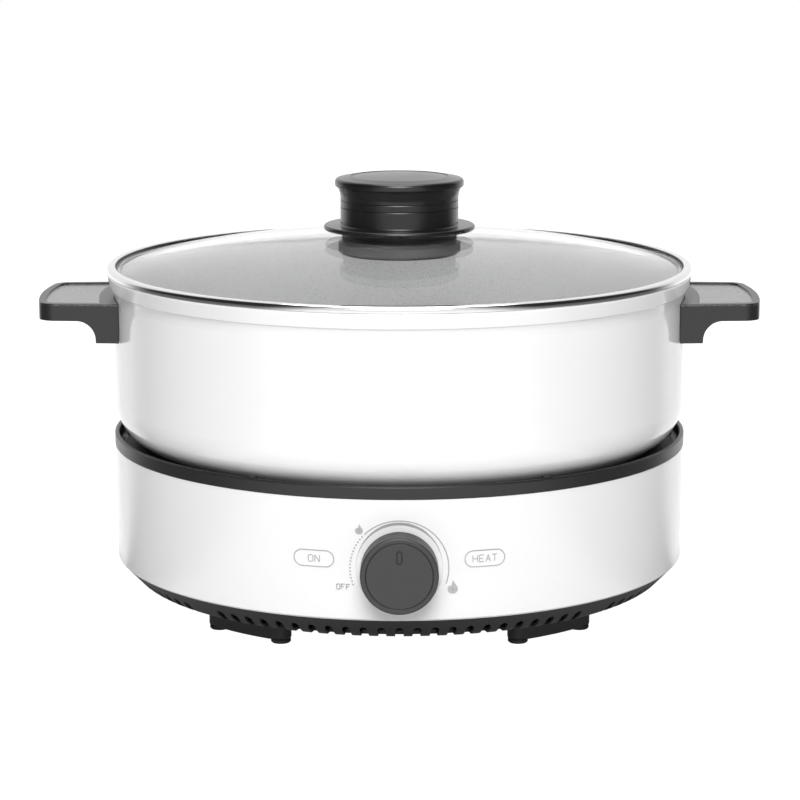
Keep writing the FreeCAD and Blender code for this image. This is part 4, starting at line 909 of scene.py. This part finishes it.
def floorShade(tree):  # how bright the table is in reflections: dark beside the object and close to it
    place = placeNode(tree, "ShaderNodeTexCoord", (-3, 5))
    sides = useGroup(tree, "sides", (-2, 5), Dim=studio["sideDark"])
    apart = placeNode(tree, "ShaderNodeSeparateXYZ", (-2, 7))
    join(tree, place.outputs["Object"], apart.inputs[0])
    across = mathNode(tree, "ABSOLUTE", apart.outputs["X"], None, (-1, 7))
    beside = mathNode(tree, "SUBTRACT", across, table["objectHalf"], (0, 7))
    past = placeNode(tree, "ShaderNodeCombineXYZ", (1, 7))
    join(tree, mathNode(tree, "MAXIMUM", beside, 0.0, (0, 8)), past.inputs["X"])
    join(tree, apart.outputs["Y"], past.inputs["Y"])
    join(tree, past.outputs[0], sides.inputs["Direction"])
    distance = placeNode(tree, "ShaderNodeVectorMath", (-2, 9), operation="LENGTH")
    join(tree, place.outputs["Object"], distance.inputs[0])
    shade = placeNode(tree, "ShaderNodeMapRange", (-1, 9), interpolation_type="SMOOTHSTEP")
    shade.inputs["From Min"].default_value = table["shadeStart"]
    shade.inputs["From Max"].default_value = table["shadeEnd"]
    shade.inputs["To Min"].default_value = table["shade"]
    join(tree, distance.outputs["Value"], shade.inputs["Value"])
    return mathNode(tree, "MULTIPLY", sides.outputs["Strength"], shade.outputs["Result"], (2, 7))


def makeTablePaper():  # plain paper that lights the object, and a white glow where it is seen
    material, tree, shader = newFinish("tablePaper")
    tree.nodes.remove(shader)
    path = placeNode(tree, "ShaderNodeLightPath", (0, 0))
    grain = useGroup(tree, "tone", (0, 2), Main=rgb(table["paper"]), Other=rgb(table["paperShade"]),
                     Scale=table["paperScale"])
    plain = placeNode(tree, "ShaderNodeBsdfDiffuse", (2, 2))
    join(tree, grain.outputs["Color"], plain.inputs["Color"])
    dim = placeNode(tree, "ShaderNodeBsdfDiffuse", (2, 3))
    dim.inputs["Color"].default_value = rgb(table["dark"])
    glow = placeNode(tree, "ShaderNodeEmission", (2, 4))
    mirrored = mixValues(tree, path.outputs["Is Glossy Ray"], 1.0, floorShade(tree), (0, 5))
    join(tree, mathNode(tree, "MULTIPLY", mirrored, table["glow"], (1, 5)), glow.inputs["Strength"])
    both = placeNode(tree, "ShaderNodeAddShader", (4, 3))
    join(tree, dim.outputs[0], both.inputs[0])
    join(tree, glow.outputs[0], both.inputs[1])
    direct = mathNode(tree, "MAXIMUM", path.outputs["Is Camera Ray"], path.outputs["Is Glossy Ray"], (2, 0))
    direct = mathNode(tree, "MAXIMUM", direct, path.outputs["Is Transmission Ray"], (3, 0))
    mix = placeNode(tree, "ShaderNodeMixShader", (6, 0))
    join(tree, direct, mix.inputs[0])
    join(tree, plain.outputs[0], mix.inputs[1])
    join(tree, both.outputs[0], mix.inputs[2])
    join(tree, mix.outputs[0], tree.nodes["Material Output"].inputs["Surface"])
    return material


def makeFloor():
    mesh = bpy.data.meshes.new("tableTop")
    build = bmesh.new()
    bmesh.ops.create_circle(build, cap_ends=True, segments=table["corners"], radius=table["radius"])
    build.to_mesh(mesh)
    build.free()
    floor = bpy.data.objects.new("tableTop", mesh)
    floor.location.z = -table["drop"]
    bpy.context.scene.collection.objects.link(floor)
    mesh.materials.append(makeTablePaper())


def makeLamp(name, power, size, place):
    data = bpy.data.lights.new(name, "AREA")
    data.energy = power
    data.shape = "DISK"
    data.size = size
    lamp = bpy.data.objects.new(name, data)
    lamp.location = place
    lamp.rotation_euler = (Vector(lampTarget) - Vector(place)).to_track_quat("-Z", "Y").to_euler()
    bpy.context.scene.collection.objects.link(lamp)


view = dict(place=(0.0, -1.3907, 0.3706), pitch=11.03, lens=122.7, sensor=36.0, shift=0.00075, nearest=0.05)


def makeCamera():
    data = bpy.data.cameras.new("photoCamera")
    data.sensor_width = view["sensor"]
    data.lens = view["lens"]
    data.shift_x = view["shift"]
    data.clip_start = view["nearest"]
    camera = bpy.data.objects.new("photoCamera", data)
    camera.location = view["place"]
    camera.rotation_euler = (math.radians(90 - view["pitch"]), 0, 0)
    bpy.context.scene.collection.objects.link(camera)
    bpy.context.scene.camera = camera


makeWorld()
makeFloor()
for name, lamp in lamps.items():
    makeLamp(name, **lamp)
makeCamera()
bpy.context.scene.view_settings.view_transform = "Standard"
print("studio ready")
